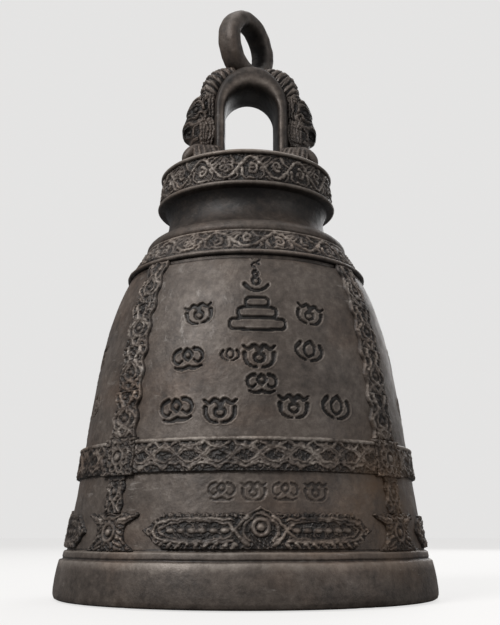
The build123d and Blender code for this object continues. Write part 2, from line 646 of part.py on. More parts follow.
def head_outline():
    """Side of the dragon's head, as (x, height): brow tuft, hanging upper lip, chin and throat."""
    brow = Spline(
        (BROW_X - 2.6, BROW_TOP_Z - 1.4),
        (BROW_X, BROW_TOP_Z),
        (NOSE_X, NOSE_Z),
        tangents=[(0.6, 1), (0.3, -1)],
    )
    lip = Spline(
        (NOSE_X - 0.5, NOSE_Z - 1.2),
        (HEAD_REACH - 0.9, NOSE_Z - 4.4),
        (HEAD_REACH, (NOSE_Z + LIP_TIP_Z) / 2),
        (HEAD_REACH - 1.0, LIP_TIP_Z),
    )
    under = Polyline(
        lip @ 1,
        (HEAD_REACH - LIP_THICK, LIP_TIP_Z + 0.5),
        (CHIN_X, CHIN_Z),
        (CHIN_X - 0.7, FOOT_TOP_Z + 1.5),
        (THROAT_X, FOOT_TOP_Z),
        (LEG_X - 4, FOOT_TOP_Z),
        (LEG_X - 4, HEAD_TOP_Z),
        (LEG_X + 5.4, HEAD_TOP_Z),
        brow @ 0,
    )
    return make_face(brow + Line(brow @ 1, lip @ 0) + lip + under)


def dragon_head(side):
    """Dragon's head on one flank of the yoke: a tufted brow, a long upper lip hung in front of the
    hollow mouth, a curled cheek and a beard of strands under it."""
    head = across(head_outline(), 2 * HEAD_HALF_DEPTH)
    head = head & extrude(dragon_plan(), 2 * RING_Z, dir=(0, 0, 1))
    hollow = Plane.XZ * Pos(MOUTH_X, MOUTH_Z) * Ellipse(MOUTH_HALF_WIDTH, MOUTH_HALF_HEIGHT)
    for flank in (-1, 1):
        face_y = flank * HEAD_HALF_DEPTH
        head -= Pos(0, flank * (MOUTH_WEB + HEAD_HALF_DEPTH), 0) * extrude(hollow, HEAD_HALF_DEPTH, both=True)
        groove = Box(5, 2 * NOSE_GROOVE_DEPTH, 0.8)
        head -= Pos(EYE_X + 2.5, flank * (SNOUT_HALF_DEPTH + 1.4), NOSE_GROOVE_Z) * groove
        cheek = Rot(90, 0, 0) * Torus(CHEEK_RADIUS, CHEEK_BAR)
        head += Pos(EYE_X, face_y - flank * 1.6, BROW_EYE_Z) * Sphere(EYE_RADIUS)
        head += Pos(CHEEK_X, face_y - flank * 0.6, CHEEK_Z) * cheek
        for n in range(BEARD_COUNT):
            hair = Rot(0, 8 - 5 * n, 0) * Cylinder(BEARD_RADIUS, BEARD_LENGTH)
            head += Pos(BEARD_X + n * BEARD_PITCH, face_y - flank * 0.5, BEARD_Z) * hair
    over_foot = Pos(0, 0, FOOT_TOP_Z + LIP_RADIUS) * Box(4 * LIP_RADIUS, 4 * LIP_RADIUS, 2 * LIP_RADIUS)
    return set_on((head & over_foot) - yoke_block(), side)


def dragon_plan():
    """Outline of the head from above: full cheeks that draw in to the snout."""
    root_x = YOKE_INNER_RADIUS
    snout_x = HEAD_REACH + 1
    cheek = Spline(
        (root_x, -HEAD_HALF_DEPTH),
        (HEAD_REACH - 9, -HEAD_HALF_DEPTH),
        (snout_x, -SNOUT_HALF_DEPTH),
        tangents=[(1, 0), (1, 0.6)],
    )
    tip = Line((snout_x, -SNOUT_HALF_DEPTH), (snout_x, SNOUT_HALF_DEPTH))
    root = Line((root_x, HEAD_HALF_DEPTH), (root_x, -HEAD_HALF_DEPTH))
    return make_face(cheek + tip + cheek.mirror(Plane.XZ) + root)


# ---------------------------------------------------------------- clapper
STAPLE_Z = CEILING_Z - STAPLE_DROP
LINK_TOP_Z = STAPLE_Z + STAPLE_BAR + LINK_BAR + HANG_CLEARANCE
LINK_FOOT_Z = LINK_TOP_Z - LINK_LENGTH
EYE_TOP_Z = LINK_FOOT_Z + LINK_BAR + EYE_BAR + HANG_CLEARANCE
EYE_Z = EYE_TOP_Z - CLAPPER_EYE_RADIUS


def staple_legs(bottom_z, top_z):
    """The staple's two upright legs between two heights."""
    leg = Cylinder(STAPLE_BAR, top_z - bottom_z)
    height = (bottom_z + top_z) / 2
    return Pos(0, STAPLE_HALF_WIDTH, height) * leg + Pos(0, -STAPLE_HALF_WIDTH, height) * leg


def clapper_staple():
    """Round-bar staple in the ceiling, its legs let into two sockets."""
    top_z = CEILING_Z + STAPLE_SOCKET
    path = FilletPolyline(
        (0, -STAPLE_HALF_WIDTH, top_z),
        (0, -STAPLE_HALF_WIDTH, STAPLE_Z),
        (0, STAPLE_HALF_WIDTH, STAPLE_Z),
        (0, STAPLE_HALF_WIDTH, top_z),
        radius=STAPLE_CORNER,
    )
    start = Plane(origin=path @ 0, z_dir=path % 0)
    return sweep(start * Circle(STAPLE_BAR), path)


def clapper_link():
    """Long oval link between the staple and the clapper's eye."""
    top = LINK_TOP_Z - LINK_RADIUS
    foot = LINK_FOOT_Z + LINK_RADIUS
    ring = Rot(90, 0, 0) * Torus(LINK_RADIUS, LINK_BAR)
    upper = (Pos(0, 0, top) * ring) & (Pos(0, 0, top + 2 * LINK_RADIUS) * Box(40, 40, 4 * LINK_RADIUS))
    lower = (Pos(0, 0, foot) * ring) & (Pos(0, 0, foot - 2 * LINK_RADIUS) * Box(40, 40, 4 * LINK_RADIUS))
    side = Cylinder(LINK_BAR, top - foot)
    middle = (top + foot) / 2
    return one_solid(
        upper, lower, Pos(LINK_RADIUS, 0, middle) * side, Pos(-LINK_RADIUS, 0, middle) * side
    )


def clapper_stem():
    """Forged eye and tapered rod, whose foot is peened over under the ball."""
    eye = Pos(0, 0, EYE_Z) * Rot(0, 90, 0) * Torus(CLAPPER_EYE_RADIUS, EYE_BAR)
    top_z = EYE_Z - CLAPPER_EYE_RADIUS
    foot_z = BALL_Z - BALL_RADIUS
    rod = make_face(
        Polyline(
            (0, top_z),
            (STEM_TOP_RADIUS, top_z),
            (STEM_FOOT_RADIUS, BALL_Z),
            (STEM_FOOT_RADIUS, foot_z),
            (TAIL_RADIUS, foot_z),
            (TAIL_RADIUS - 1.2, foot_z - TAIL_LENGTH),
            (0, foot_z - TAIL_LENGTH),
            close=True,
        )
    )
    return eye + turn_full(rod)


def clapper_ball():
    """Pear-shaped striker with a collar above, bored for the rod."""
    foot_z = BALL_Z - BALL_RADIUS
    collar_z = BALL_Z + BALL_NECK_RISE
    flat = 5.6
    lower = ThreePointArc(
        (flat, foot_z), (BALL_RADIUS * 0.78, BALL_Z - BALL_RADIUS * 0.63), (BALL_RADIUS, BALL_Z)
    )
    upper = Spline(
        (BALL_RADIUS, BALL_Z),
        (BALL_NECK_RADIUS + 2.4, BALL_Z + BALL_NECK_RISE * 0.62),
        (BALL_NECK_RADIUS, collar_z),
        tangents=[(0, 1), (-0.2, 1)],
    )
    inner = Polyline((BALL_NECK_RADIUS, collar_z), (0, collar_z), (0, foot_z), (flat, foot_z))
    return turn_full(make_face(lower + upper + inner)) - clapper_stem()


# ---------------------------------------------------------------- the bell, piece by piece
def all_pieces():
    """Every piece of the bell, by name."""
    pieces = {
        "bell_shell": bell_shell(),
        "shoulder_band": shoulder_band(),
        "crown_cap": crown_cap(),
        "crown_band": crown_band(),
        "yoke_arch": yoke_arch(),
        "hanging_ring": hanging_ring(),
        "yoke_foot_right": yoke_foot(1),
        "yoke_foot_left": yoke_foot(-1),
        "dragon_mane_right": dragon_mane(1),
        "dragon_mane_left": dragon_mane(-1),
        "dragon_head_right": dragon_head(1),
        "dragon_head_left": dragon_head(-1),
        "clapper_staple": clapper_staple(),
        "clapper_link": clapper_link(),
        "clapper_stem": clapper_stem(),
        "clapper_ball": clapper_ball(),
    }
    boss_top_z = BAND_TOP_Z + BOSS_OVERHANG
    short_top_z = BAND_BOTTOM_Z - BOSS_OVERHANG - TAB_DROP
    at_corner = {
        "upper_strap_": strap(0, boss_top_z, SHOULDER_Z, STRAP_HALF_ANGLE, STRAP_UNITS),
        "crossing_boss_": crossing_boss(0),
        "lower_strap_": strap(0, SHORT_STRAP_BOTTOM_Z, short_top_z, SHORT_STRAP_HALF_ANGLE, 1),
        "finial_": finial(0),
    }
    for kind, piece in at_corner.items():
        for name, azimuth in CORNERS.items():
            pieces[kind + name] = Rot(0, 0, azimuth) * piece
    for name, opposite in (("front", "back"), ("right", "left")):
        azimuth, half_angle = PANELS[name]
        band = waist_band(azimuth, half_angle)
        long_cartouche = cartouche(azimuth, half_angle)
        pieces["waist_band_" + name] = band
        pieces["waist_band_" + opposite] = Rot(0, 0, 180) * band
        pieces["cartouche_" + name] = long_cartouche
        pieces["cartouche_" + opposite] = Rot(0, 0, 180) * long_cartouche
    return pieces


os.makedirs("parts", exist_ok=True)
for node, shape in all_pieces().items():
    export_step(shape, f"parts/{node}.step")
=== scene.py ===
"""A cast bronze temple bell: skins of relief on a turned wall, a dragon yoke, a fixed ring and an
iron clapper. Shapes are worked out in millimetres and put into the meshes in metres.

Axes: +Z up from the lip's bottom face, the front panel faces -Y, the yoke spans X. Azimuths are in
degrees from +X. A place on the wall is (across, height): millimetres round the bell from the middle
of the piece, positive to the right as seen from outside, and height over the lip's bottom face.
"""

from functools import reduce
from math import atan2, cos, pi, radians, sin, sqrt

import bpy
import numpy as np
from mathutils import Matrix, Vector


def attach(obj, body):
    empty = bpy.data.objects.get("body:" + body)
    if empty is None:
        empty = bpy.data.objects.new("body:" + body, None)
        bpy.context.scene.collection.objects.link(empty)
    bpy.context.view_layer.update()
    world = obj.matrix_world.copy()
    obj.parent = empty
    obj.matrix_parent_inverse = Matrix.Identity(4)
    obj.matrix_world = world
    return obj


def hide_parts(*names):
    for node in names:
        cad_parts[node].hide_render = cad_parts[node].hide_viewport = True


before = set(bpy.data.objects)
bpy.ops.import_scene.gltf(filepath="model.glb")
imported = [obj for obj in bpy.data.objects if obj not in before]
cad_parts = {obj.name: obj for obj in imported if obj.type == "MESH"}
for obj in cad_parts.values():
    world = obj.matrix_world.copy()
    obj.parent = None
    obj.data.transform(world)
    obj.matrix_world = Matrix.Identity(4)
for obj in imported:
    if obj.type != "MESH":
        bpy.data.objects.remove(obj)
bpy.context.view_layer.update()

MM = 0.001

# ---------------------------------------------------------------- sizes of the bell, millimetres
PANEL_FOOT_Z, PANEL_MIDDLE_Z, PANEL_TOP_Z = 18.5, 73.0, 126.4
BAND_BOTTOM_Z, BAND_TOP_Z = 44.6, 56.4
BOSS_Z = 50.5               # middle of the crossing bosses
BELL_TOP_Z = 143.4
NECK_BORE = 27.5            # radius
WALL_KNOTS_Z = (18.0, 50.0, 80.0, 109.0, 126.0, 138.0)
WALL_KNOTS_R = (70.1, 65.5, 61.4, 55.4, 48.6, 41.2)
WALL_THICKNESS = 5.0
STRAP_AZIMUTH = 47.0
CORNERS = {
    "front_left": -90 - STRAP_AZIMUTH,
    "front_right": -90 + STRAP_AZIMUTH,
    "back_right": 90 - STRAP_AZIMUTH,
    "back_left": 90 + STRAP_AZIMUTH,
}
PANELS = {
    "front": (-90, STRAP_AZIMUTH),
    "right": (0, 90 - STRAP_AZIMUTH),
    "back": (90, STRAP_AZIMUTH),
    "left": (180, 90 - STRAP_AZIMUTH),
}
BOSS_HALF_ANGLE = 7.4
PANEL_SKIN = 1.2            # the wall's core lies this far under the panels' skins
BURIED = 1.7                # how deep the back of a skin lies in the metal behind it
YOKE_OFFSET = 1.5           # the yoke is set on a little to +X
SIDES = {1: "right", -1: "left"}
DRAWN_IN = {1: 0.0, -1: 2.2}    # the left paw was laid this much shorter than the right one
GROOVE_DEPTH = 0.8
BEAD_PITCH = 9.5            # along the waist bands
FLOWER_AT = 0.77            # share of a vine's pitch at which its flower or second curl sits
FLOWER_AZIMUTH = -106.7     # of one flower of the crown band
BAND_COLUMNS = 980          # points round the vine rings
BACK_STEP = 8               # a skin's back has one point for this many of its front
FRONT_SPACING, SPACING = 0.20, 0.28     # between the points of a relief
POINTS_PER_SPAN = 14        # of a thread, between two given points


# ---------------------------------------------------------------- curves and numbers
def spline_at(knots, values, at):
    """Natural cubic spline: second slopes m solve h0 m0 + 2(h0+h1) m1 + h1 m2 = 6 (d1 - d0), with
    m = 0 at both ends, and each span is the cubic with those second slopes."""
    x, y = np.array(knots, float), np.array(values, float)
    h = np.diff(x)
    d = np.diff(y) / h
    n = len(x)
    matrix = np.eye(n)
    right = np.zeros(n)
    for i in range(1, n - 1):
        matrix[i, i - 1 : i + 2] = h[i - 1], 2 * (h[i - 1] + h[i]), h[i]
        right[i] = 6 * (d[i] - d[i - 1])
    m = np.linalg.solve(matrix, right)
    at = np.clip(at, x[0], x[-1])
    i = np.clip(np.searchsorted(x, at) - 1, 0, n - 2)
    a, b, w = x[i + 1] - at, at - x[i], h[i]
    return (
        (m[i] * a**3 + m[i + 1] * b**3) / (6 * w)
        + (y[i] / w - m[i] * w / 6) * a
        + (y[i + 1] / w - m[i + 1] * w / 6) * b
    )


def wall(z):
    """Radius of the bare wall at height z."""
    return spline_at(WALL_KNOTS_Z, WALL_KNOTS_R, z)


def ease(x, low, high):
    """0 below low, 1 above high, and 3t^2 - 2t^3 between."""
    t = np.clip((x - low) / (high - low), 0, 1)
    return t * t * (3 - 2 * t)


def hump(x):
    """sqrt(1 - x), and 0 past 1: a half circle's height where x is (distance / radius)^2."""
    return np.sqrt(np.clip(1 - x, 0, 1))


def oval(x, z, at, half_x, half_z):
    """1 - (x/a)^2 - (z/b)^2 inside an oval about a point, and 0 outside it."""
    return np.clip(1 - ((x - at[0]) / half_x) ** 2 - ((z - at[1]) / half_z) ** 2, 0, 1)


def power(x, n):
    """|x|^n with the sign of x."""
    return np.sign(x) * np.abs(x) ** n


def highest(*heights):
    """The greatest of several heights, point by point."""
    return reduce(np.maximum, heights)


def along_table(x, table):
    """Value at x from a table of (x, value), in straight lines between its rows."""
    return np.interp(x, *zip(*table))


def unevenness(a, b, scale, seed, octaves=3):
    """Soft hand-made unevenness, about -1 to 1: a sum of sines in crossed directions whose wave
    lengths halve, each with its own turn and shift."""
    rng = np.random.default_rng(seed)
    total, weight = 0.0, 0.0
    for octave in range(octaves):
        for _ in range(4):
            turn, shift = rng.uniform(0, 2 * pi, 2)
            k = 2 * pi / (scale * rng.uniform(0.7, 1.4) / 2**octave)
            total = total + np.sin(k * (a * cos(turn) + b * sin(turn)) + shift) / 2**octave
        weight += 2.0 / 2**octave
    return total / weight


# ---------------------------------------------------------------- meshes
def make_mesh(name, points, quads, triangles, tone):
    """Makes the object. Its faces are turned outwards by the sign of the volume that they close:
    one sixth of the sum of a . (b x c) over the triangles."""
    points = np.asarray(points, float)
    halves = np.concatenate([quads[:, [0, 1, 2]], quads[:, [0, 2, 3]], triangles])
    a, b, c = (points[halves[:, k]] for k in range(3))
    if np.einsum("ij,ij->i", a, np.cross(b, c)).sum() < 0:
        quads, triangles = quads[:, ::-1], triangles[:, ::-1]
    mesh = bpy.data.meshes.new(name)
    mesh.vertices.add(len(points))
    mesh.vertices.foreach_set("co", (points * MM).ravel())
    corners = np.concatenate([quads.ravel(), triangles.ravel()]).astype(np.int32)
    mesh.loops.add(len(corners))
    mesh.loops.foreach_set("vertex_index", corners)
    counts = np.concatenate([np.full(len(quads), 4), np.full(len(triangles), 3)]).astype(np.int32)
    mesh.polygons.add(len(counts))
    mesh.polygons.foreach_set("loop_start", (np.cumsum(counts) - counts).astype(np.int32))
    mesh.polygons.foreach_set("loop_total", counts)
    mesh.polygons.foreach_set("use_smooth", np.ones(len(counts), bool))
    mesh.update(calc_edges=True)
    mesh.validate()
    layer = mesh.attributes.new("tone", "FLOAT", "POINT")
    layer.data.foreach_set("value", np.asarray(tone, np.float32).ravel())
    piece = bpy.data.objects.new(name, mesh)
    bpy.context.scene.collection.objects.link(piece)
    return piece


def grid_faces(rows, columns, ring_rows=False, ring_columns=False, start=0):
    """Quads of a grid of points listed row by row. A ring joins its last line to its first."""
    r = np.arange(rows if ring_rows else rows - 1)
    c = np.arange(columns if ring_columns else columns - 1)
    r, c = np.meshgrid(r, c, indexing="ij")
    r2, c2 = (r + 1) % rows, (c + 1) % columns
    quads = np.stack([r * columns + c, r * columns + c2, r2 * columns + c2, r2 * columns + c], -1)
    return quads.reshape(-1, 4) + start


NO_TRIANGLES = np.zeros((0, 3), int)


def ring_grid(name, points, tone):
    """Closed piece from a grid whose rows and columns both run round and meet."""
    rows, columns = points.shape[:2]
    quads = grid_faces(rows, columns, True, True)
    return make_mesh(name, points.reshape(-1, 3), quads, NO_TRIANGLES, tone)


def capped_grid(name, points, tone):
    """Closed piece from a grid whose columns run round, shut at both ends by a fan of triangles."""
    rows, columns = points.shape[:2]
    quads = grid_faces(rows, columns, False, True)
    ends = np.array([points[0].mean(0), points[-1].mean(0)])
    c = np.arange(columns)
    c2 = (c + 1) % columns
    first = np.stack([np.full(columns, rows * columns), c2, c], -1)
    last_row = (rows - 1) * columns
    last = np.stack([np.full(columns, rows * columns + 1), last_row + c, last_row + c2], -1)
    tone = np.broadcast_to(tone, points.shape[:2]).ravel()
    tone = np.concatenate([tone, [tone[0], tone[-1]]])
    everything = np.concatenate([points.reshape(-1, 3), ends])
    return make_mesh(name, everything, quads, np.concatenate([first, last]), tone)


def lathe(profile, columns, start=0.0):
    """Grids of radius, height and azimuth of a profile of (r, z) carried round the Z axis."""
    r, z = np.array(profile, float).T
    t = np.linspace(start, start + 2 * pi, columns, endpoint=False)
    return [np.array(grid) for grid in np.broadcast_arrays(r[:, None], z[:, None], t[None, :])]


def round_about(r, t, z):
    """Points at radius r, azimuth t and height z."""
    return np.stack([r * np.cos(t), r * np.sin(t), z], -1)


def turned(name, profile, columns, tone, closed=False, unround=None):
    """Surface of revolution: the point (r, z) of the profile at azimuth t is (r cos t, r sin t, z).
    A closed profile is a loop off the axis; an open one starts and ends at the axis."""
    r, z, t = lathe(profile, columns)
    if unround is not None:
        dr, dz = unround(r, z, t)
        r, z = r + dr, z + dz
    build = ring_grid if closed else capped_grid
    return build(name, round_about(r, t, z), np.broadcast_to(tone, r.shape))


def skin(name, front, back, step, tone):
    """Closed skin: a fine front grid and a back grid of every step-th point of it, sewn together
    along their rims by a fan of triangles from each back point."""
    rows, columns = front.shape[:2]
    back_rows, back_columns = back.shape[:2]
    start = rows * columns
    quads = np.concatenate(
        [grid_faces(rows, columns), grid_faces(back_rows, back_columns, start=start)[:, ::-1]]
    )
    fine = rim_of(rows, columns)
    coarse = rim_of(back_rows, back_columns) + start
    i = np.arange(len(fine))
    nxt = (i + 1) % len(fine)
    fans = np.stack([fine[nxt], fine[i], coarse[i // step]], -1)
    j = np.arange(len(coarse))
    after = (j + 1) % len(coarse)
    joins = np.stack([fine[(j + 1) * step % len(fine)], coarse[j], coarse[after]], -1)
    points = np.concatenate([front.reshape(-1, 3), back.reshape(-1, 3)])
    tone = np.concatenate([tone.ravel(), np.zeros(back_rows * back_columns)])
    return make_mesh(name, points, quads, np.concatenate([fans, joins]), tone)


def rim_of(rows, columns):
    """Indices round a grid's edge, in order, each corner once."""
    top = np.arange(columns)
    right = np.arange(1, rows) * columns + columns - 1
    bottom = (rows - 1) * columns + np.arange(columns - 2, -1, -1)
    left = np.arange(rows - 2, 0, -1) * columns
    return np.concatenate([top, right, bottom, left])


def even_count(length, spacing, step):
    """Number of points along a length at about this spacing, one more than a multiple of step."""
    return max(1, round(length / spacing / step)) * step + 1


def wall_skin(name, azimuth, half_across, low_z, high_z, height, spacing, depth=BURIED, grain=0.09):
    """Skin on the wall. The front point at (across u, height z) has azimuth a + u / R, with R the
    wall's radius at mid height of the piece, and radius wall(z) + height(u, z) + a cast grain."""
    middle = float(wall((low_z + high_z) / 2))
    across = np.linspace(-half_across, half_across, even_count(2 * half_across, spacing, BACK_STEP))
    up = np.linspace(low_z, high_z, even_count(high_z - low_z, spacing, BACK_STEP))
    u, z = np.meshgrid(across, up)
    rise, tone = height(u, z)
    rise = rise + grain * unevenness(u + 3 * azimuth, z, 2.6, 17)
    t = radians(azimuth) + u / middle
    front = round_about(wall(z) + rise, t, z)
    coarse = (slice(None, None, BACK_STEP), slice(None, None, BACK_STEP))
    back = round_about(wall(z[coarse]) - depth, t[coarse], z[coarse])
    return skin(name, front, back, BACK_STEP, tone)


# ---------------------------------------------------------------- threads of wax
def thread(width, tip, *points):
    """A wax thread: a smooth line through the points, as an array of (u, v, half-width). The width
    runs from width at its start to tip at its end."""
    p = np.array(points, float)
    knots = np.concatenate([[0], np.cumsum(np.hypot(*np.diff(p, axis=0).T))])
    at = np.linspace(0, knots[-1], POINTS_PER_SPAN * (len(p) - 1) + 1 if len(p) > 2 else 2)
    u, v = spline_at(knots, p[:, 0], at), spline_at(knots, p[:, 1], at)
    return np.stack([u, v, np.linspace(width, tip, len(at))], -1)


def threads(*rows):
    """Several threads, each from a row of its width, its tip and its points."""
    return [thread(*row) for row in rows]


def curl(u, v, radius, start, turns, width, tip, inner):
    """A curl: a spiral about (u, v) from this radius in to the inner share of it. start is the
    outer end's angle in degrees, and positive turns wind anticlockwise."""
    t = np.linspace(0, 1, max(12, int(abs(turns) * 28)))
    angle = radians(start) + 2 * pi * turns * t
    r = radius * (1 - (1 - inner) * t)
    return np.stack([u + r * np.cos(angle), v + r * np.sin(angle), width + (tip - width) * t], -1)


def curls(*rows):
    """Several curls, each from a row of its numbers."""
    return [curl(*row) for row in rows]


def stretched(strokes, across=1.0, up=1.0, width=1.0):
    """The same strokes with their places and widths multiplied."""
    return [s * np.array([across, up, width]) for s in strokes]


def both_sides(side):
    """Strokes of the right half and the same mirrored left to right."""
    return side + stretched(side, across=-1)


def moved(strokes, du=0.0, dv=0.0, scale=1.0, turn=0.0):
    """The same strokes scaled, turned by degrees and then moved."""
    c, s = cos(radians(turn)) * scale, sin(radians(turn)) * scale
    out = []
    for stroke in strokes:
        u, v, half = stroke.T
        out.append(np.stack([u * c - v * s + du, u * s + v * c + dv, half * scale], -1))
    return out


def threads_height(u, v, strokes):
    """Height of half-round threads: at distance d from a line of half-width w it is
    w * sqrt(1 - (d/w)^2), and where threads cross the highest counts."""
    out = np.zeros(np.shape(u))
    for stroke in strokes:
        reach = stroke[:, 2].max()
        low_u, low_v = stroke[:, :2].min(0) - reach
        high_u, high_v = stroke[:, :2].max(0) + reach
        close = (u > low_u) & (u < high_u) & (v > low_v) & (v < high_v)
        if not close.any():
            continue
        pu, pv = u[close], v[close]
        best = np.zeros(pu.shape)
        for a, b in zip(stroke[:-1], stroke[1:]):
            du, dv = b[0] - a[0], b[1] - a[1]
            along = ((pu - a[0]) * du + (pv - a[1]) * dv) / max(du * du + dv * dv, 1e-9)
            along = np.clip(along, 0, 1)
            half = a[2] + (b[2] - a[2]) * along
            gap = np.hypot(pu - a[0] - along * du, pv - a[1] - along * dv)
            best = np.maximum(best, half * hump((gap / half) ** 2))
        out[close] = np.maximum(out[close], best)
    return out


def fuller(strokes, share=1.35):
    """The same strokes laid in a thicker thread."""
    return stretched(strokes, width=share)


def carved(u, v, strokes, at_u, at_v, fill=0.5, wander=0.30):
    """Threads as a hand lays them: drawn on ground that wanders a little, uneven in height, with
    ridged crumbs of wax, 1 - |n| / 0.3 of a soft noise n, over the ground between them."""
    shaken_u = u + wander * unevenness(at_u, at_v, 3.6, 51)
    shaken_v = v + wander * unevenness(at_u, at_v, 3.6, 52)
    relief = threads_height(shaken_u, shaken_v, strokes)
    relief = relief * (1 + 0.26 * unevenness(at_u, at_v, 2.2, 54))
    crumbs = np.clip(1 - np.abs(unevenness(at_u, at_v, 3.0, 53, 2)) / 0.3, 0, 1)
    return np.maximum(relief, fill * crumbs)


def worn(u, v, relief):
    """Tone of relief: painted shade on the floor between the threads, paler on the tops as wear and
    painted highlight, and paler still where it is rubbed.
    """
    rub = 0.50 + 0.22 * unevenness(u, v, 15, 19) + 0.14 * unevenness(u, v, 3.0, 29)
    return np.clip(0.05 + 0.90 * np.clip(relief, 0, 0.9) ** 1.15 * rub / 0.5, 0, 1)


def bead(u, v, cu, cv, radius, rise):
    """Height of a round bead: rise * sqrt(1 - (d / radius)^2)."""
    return rise * hump(((u - cu) ** 2 + (v - cv) ** 2) / radius**2)


def hoop(u, v, cu, cv, radius, half):
    """Height of a half-round ring lying on the wall."""
    gap = np.abs(np.hypot(u - cu, v - cv) - radius)
    return half * hump((gap / half) ** 2)


def arc_through(a, b, c, count):
    """Points on the circle through three points, from a by way of b to c."""
    (ax, ay), (bx, by), (cx, cy) = a, b, c
    d = 2 * (ax * (by - cy) + bx * (cy - ay) + cx * (ay - by))
    a2, b2, c2 = ax * ax + ay * ay, bx * bx + by * by, cx * cx + cy * cy
    ux = (a2 * (by - cy) + b2 * (cy - ay) + c2 * (ay - by)) / d
    uy = (a2 * (cx - bx) + b2 * (ax - cx) + c2 * (bx - ax)) / d
    r = sqrt((ax - ux) ** 2 + (ay - uy) ** 2)
    start, middle, end = (atan2(y - uy, x - ux) for x, y in (a, b, c))
    turn = (end - start) % (2 * pi)
    if (middle - start) % (2 * pi) > turn:
        turn -= 2 * pi
    t = start + turn * np.linspace(0, 1, count)
    return list(zip(ux + r * np.cos(t), uy + r * np.sin(t)))


def eased_corners(points, radius):
    """The same run of straight lines with each corner rounded by a small curve of second degree,
    (1-t)^2 a + 2t(1-t) corner + t^2 b, where a and b lie at most radius away on the two sides."""
    p = [np.array(q, float) for q in points]
    out = [p[0]]
    for before, here, after in zip(p, p[1:], p[2:]):
        to_a, to_b = before - here, after - here
        a = here + to_a * min(radius / np.hypot(*to_a), 0.45)
        b = here + to_b * min(radius / np.hypot(*to_b), 0.45)
        for t in (0.0, 0.33, 0.67, 1.0):
            out.append((1 - t) ** 2 * a + 2 * t * (1 - t) * here + t * t * b)
    return out + [p[-1]]


# ---------------------------------------------------------------- body of the bell
# Tones up the lip by height, with painted light: light lines painted as highlights where the two
# ledges face up (14.3, 17.7), and dark lines painted as shade in the corners just above them (15.3,
# 18.5).
LIP_TONES_WITH_PAINTED_LIGHT = (
    (0, 0.42), (1.5, 0.46), (6.0, 0.4), (13.0, 0.5), (14.3, 0.85), (14.7, 0.55), (15.3, 0.15),
    (15.9, 0.5), (16.9, 0.45), (17.7, 0.85), (18.1, 0.6), (18.5, 0.1),
)
LIP_NICKS = ((-62, 2.6, 0.9), (-57.5, 1.6, 0.6), (-66.5, 1.2, 0.4), (-128, 1.4, 0.4))
LIP_MM_PER_DEGREE = 1.3


def hand_made(r, z, t):
    """Slow unevenness of the turned wax at the lip, and small nicks, each an azimuth, a width and
    a depth, out of the resting edge."""
    out = (r > 60) & (z < 20)
    slow = 0.10 * unevenness(t * 70, z, 30, 3)
    nicks = np.zeros(r.shape)
    for azimuth, width, deep in LIP_NICKS:
        across = (np.degrees(t) % 360 - azimuth % 360) * LIP_MM_PER_DEGREE
        nicks += deep * np.exp(-((across / width) ** 2) - (z / 2.0) ** 2)
    return np.where(out, -0.1 + slow - nicks, 0.0), np.where(out & (z > 0.3), slow, 0.0)


def bell_wall():
    """Lip, moulding, core of the wall, the ovolo and the bore: one loop turned about Z."""
    foot = eased_corners([(67.5, 0.6), (66.1, 0.05), (66.6, 0), (73.5, 0), (74.5, 0.55)], 0.25)
    lip = [(74.6, 0.8), (74.98, 1.9), (74.95, 4.0), (74.45, 8.0), (73.9, 11.2), (73.2, 14.15)]
    ledges = [
        (73.15, 14.25), (72.9, 14.6), (71.9, 14.8), (71.6, 15.25), (71.85, 15.8),
        (71.5, 17.45), (71.1, 17.9), (70.2, 18.1), (70.1, 18.4),
    ]
    z = np.linspace(18.8, 125.7, 70)
    under_skin = ease(z, 18.8, 19.6) * (1 - ease(z, 124.6, 125.6))
    core = list(zip(wall(z) - PANEL_SKIN * under_skin, z))
    z = np.linspace(PANEL_TOP_Z, 137.6, 10)
    shoulder = list(zip(wall(z) - 0.4, z))
    ovolo = [
        (40.9, 137.9), (41.75, 138.1), (42.2, 138.7), (42.3, 139.5), (42.1, 140.4), (41.5, 141.4),
        (40.7, 142.2), (39.8, 142.85), (38.8, 143.35),
    ]
    top = eased_corners([(38.5, BELL_TOP_Z), (NECK_BORE, BELL_TOP_Z), (NECK_BORE, 139.0)], 0.8)
    roof = [(NECK_BORE, 138.0), (27.6, 137.2), (28.4, 137.0), (29.6, 136.9)]
    z = np.linspace(134.5, 18.4, 70)
    inside = list(zip(wall(z) - WALL_THICKNESS - 2.4 * ease(z, 130.0, 137.5), z))
    bow = [(65.0, 18.0), (65.6, 12.0), (66.0, 6.0), (66.2, 2.0)]
    lip, ledges = eased_corners(lip, 0.4), eased_corners(ledges, 0.25)[1:]
    loop = [*foot, *lip, *ledges, *core, *shoulder, *ovolo, *top, *roof, *inside, *bow]
    r, z = np.array(loop).T
    tone = np.where((r > 69) & (z < 20), along_table(z, LIP_TONES_WITH_PAINTED_LIGHT), np.where(z > 126, 0.42, 0.35))
    return turned("bell_wall", loop, 400, tone[:, None], True, hand_made)


def groove(u, v, strokes):
    """Engraved line: how deep the floor lies, and the bank along its edge, which is raised a little
    and lightened as a painted highlight, from the same threads taken once at their width and once
    wider."""
    cut = ease(threads_height(u, v, strokes), 0.0, 0.32)
    bank_rise_and_highlight = threads_height(u, v, fuller(strokes, 1.9))
    return GROOVE_DEPTH * cut, np.clip(bank_rise_and_highlight * 1.2, 0, 1) * (1 - cut)


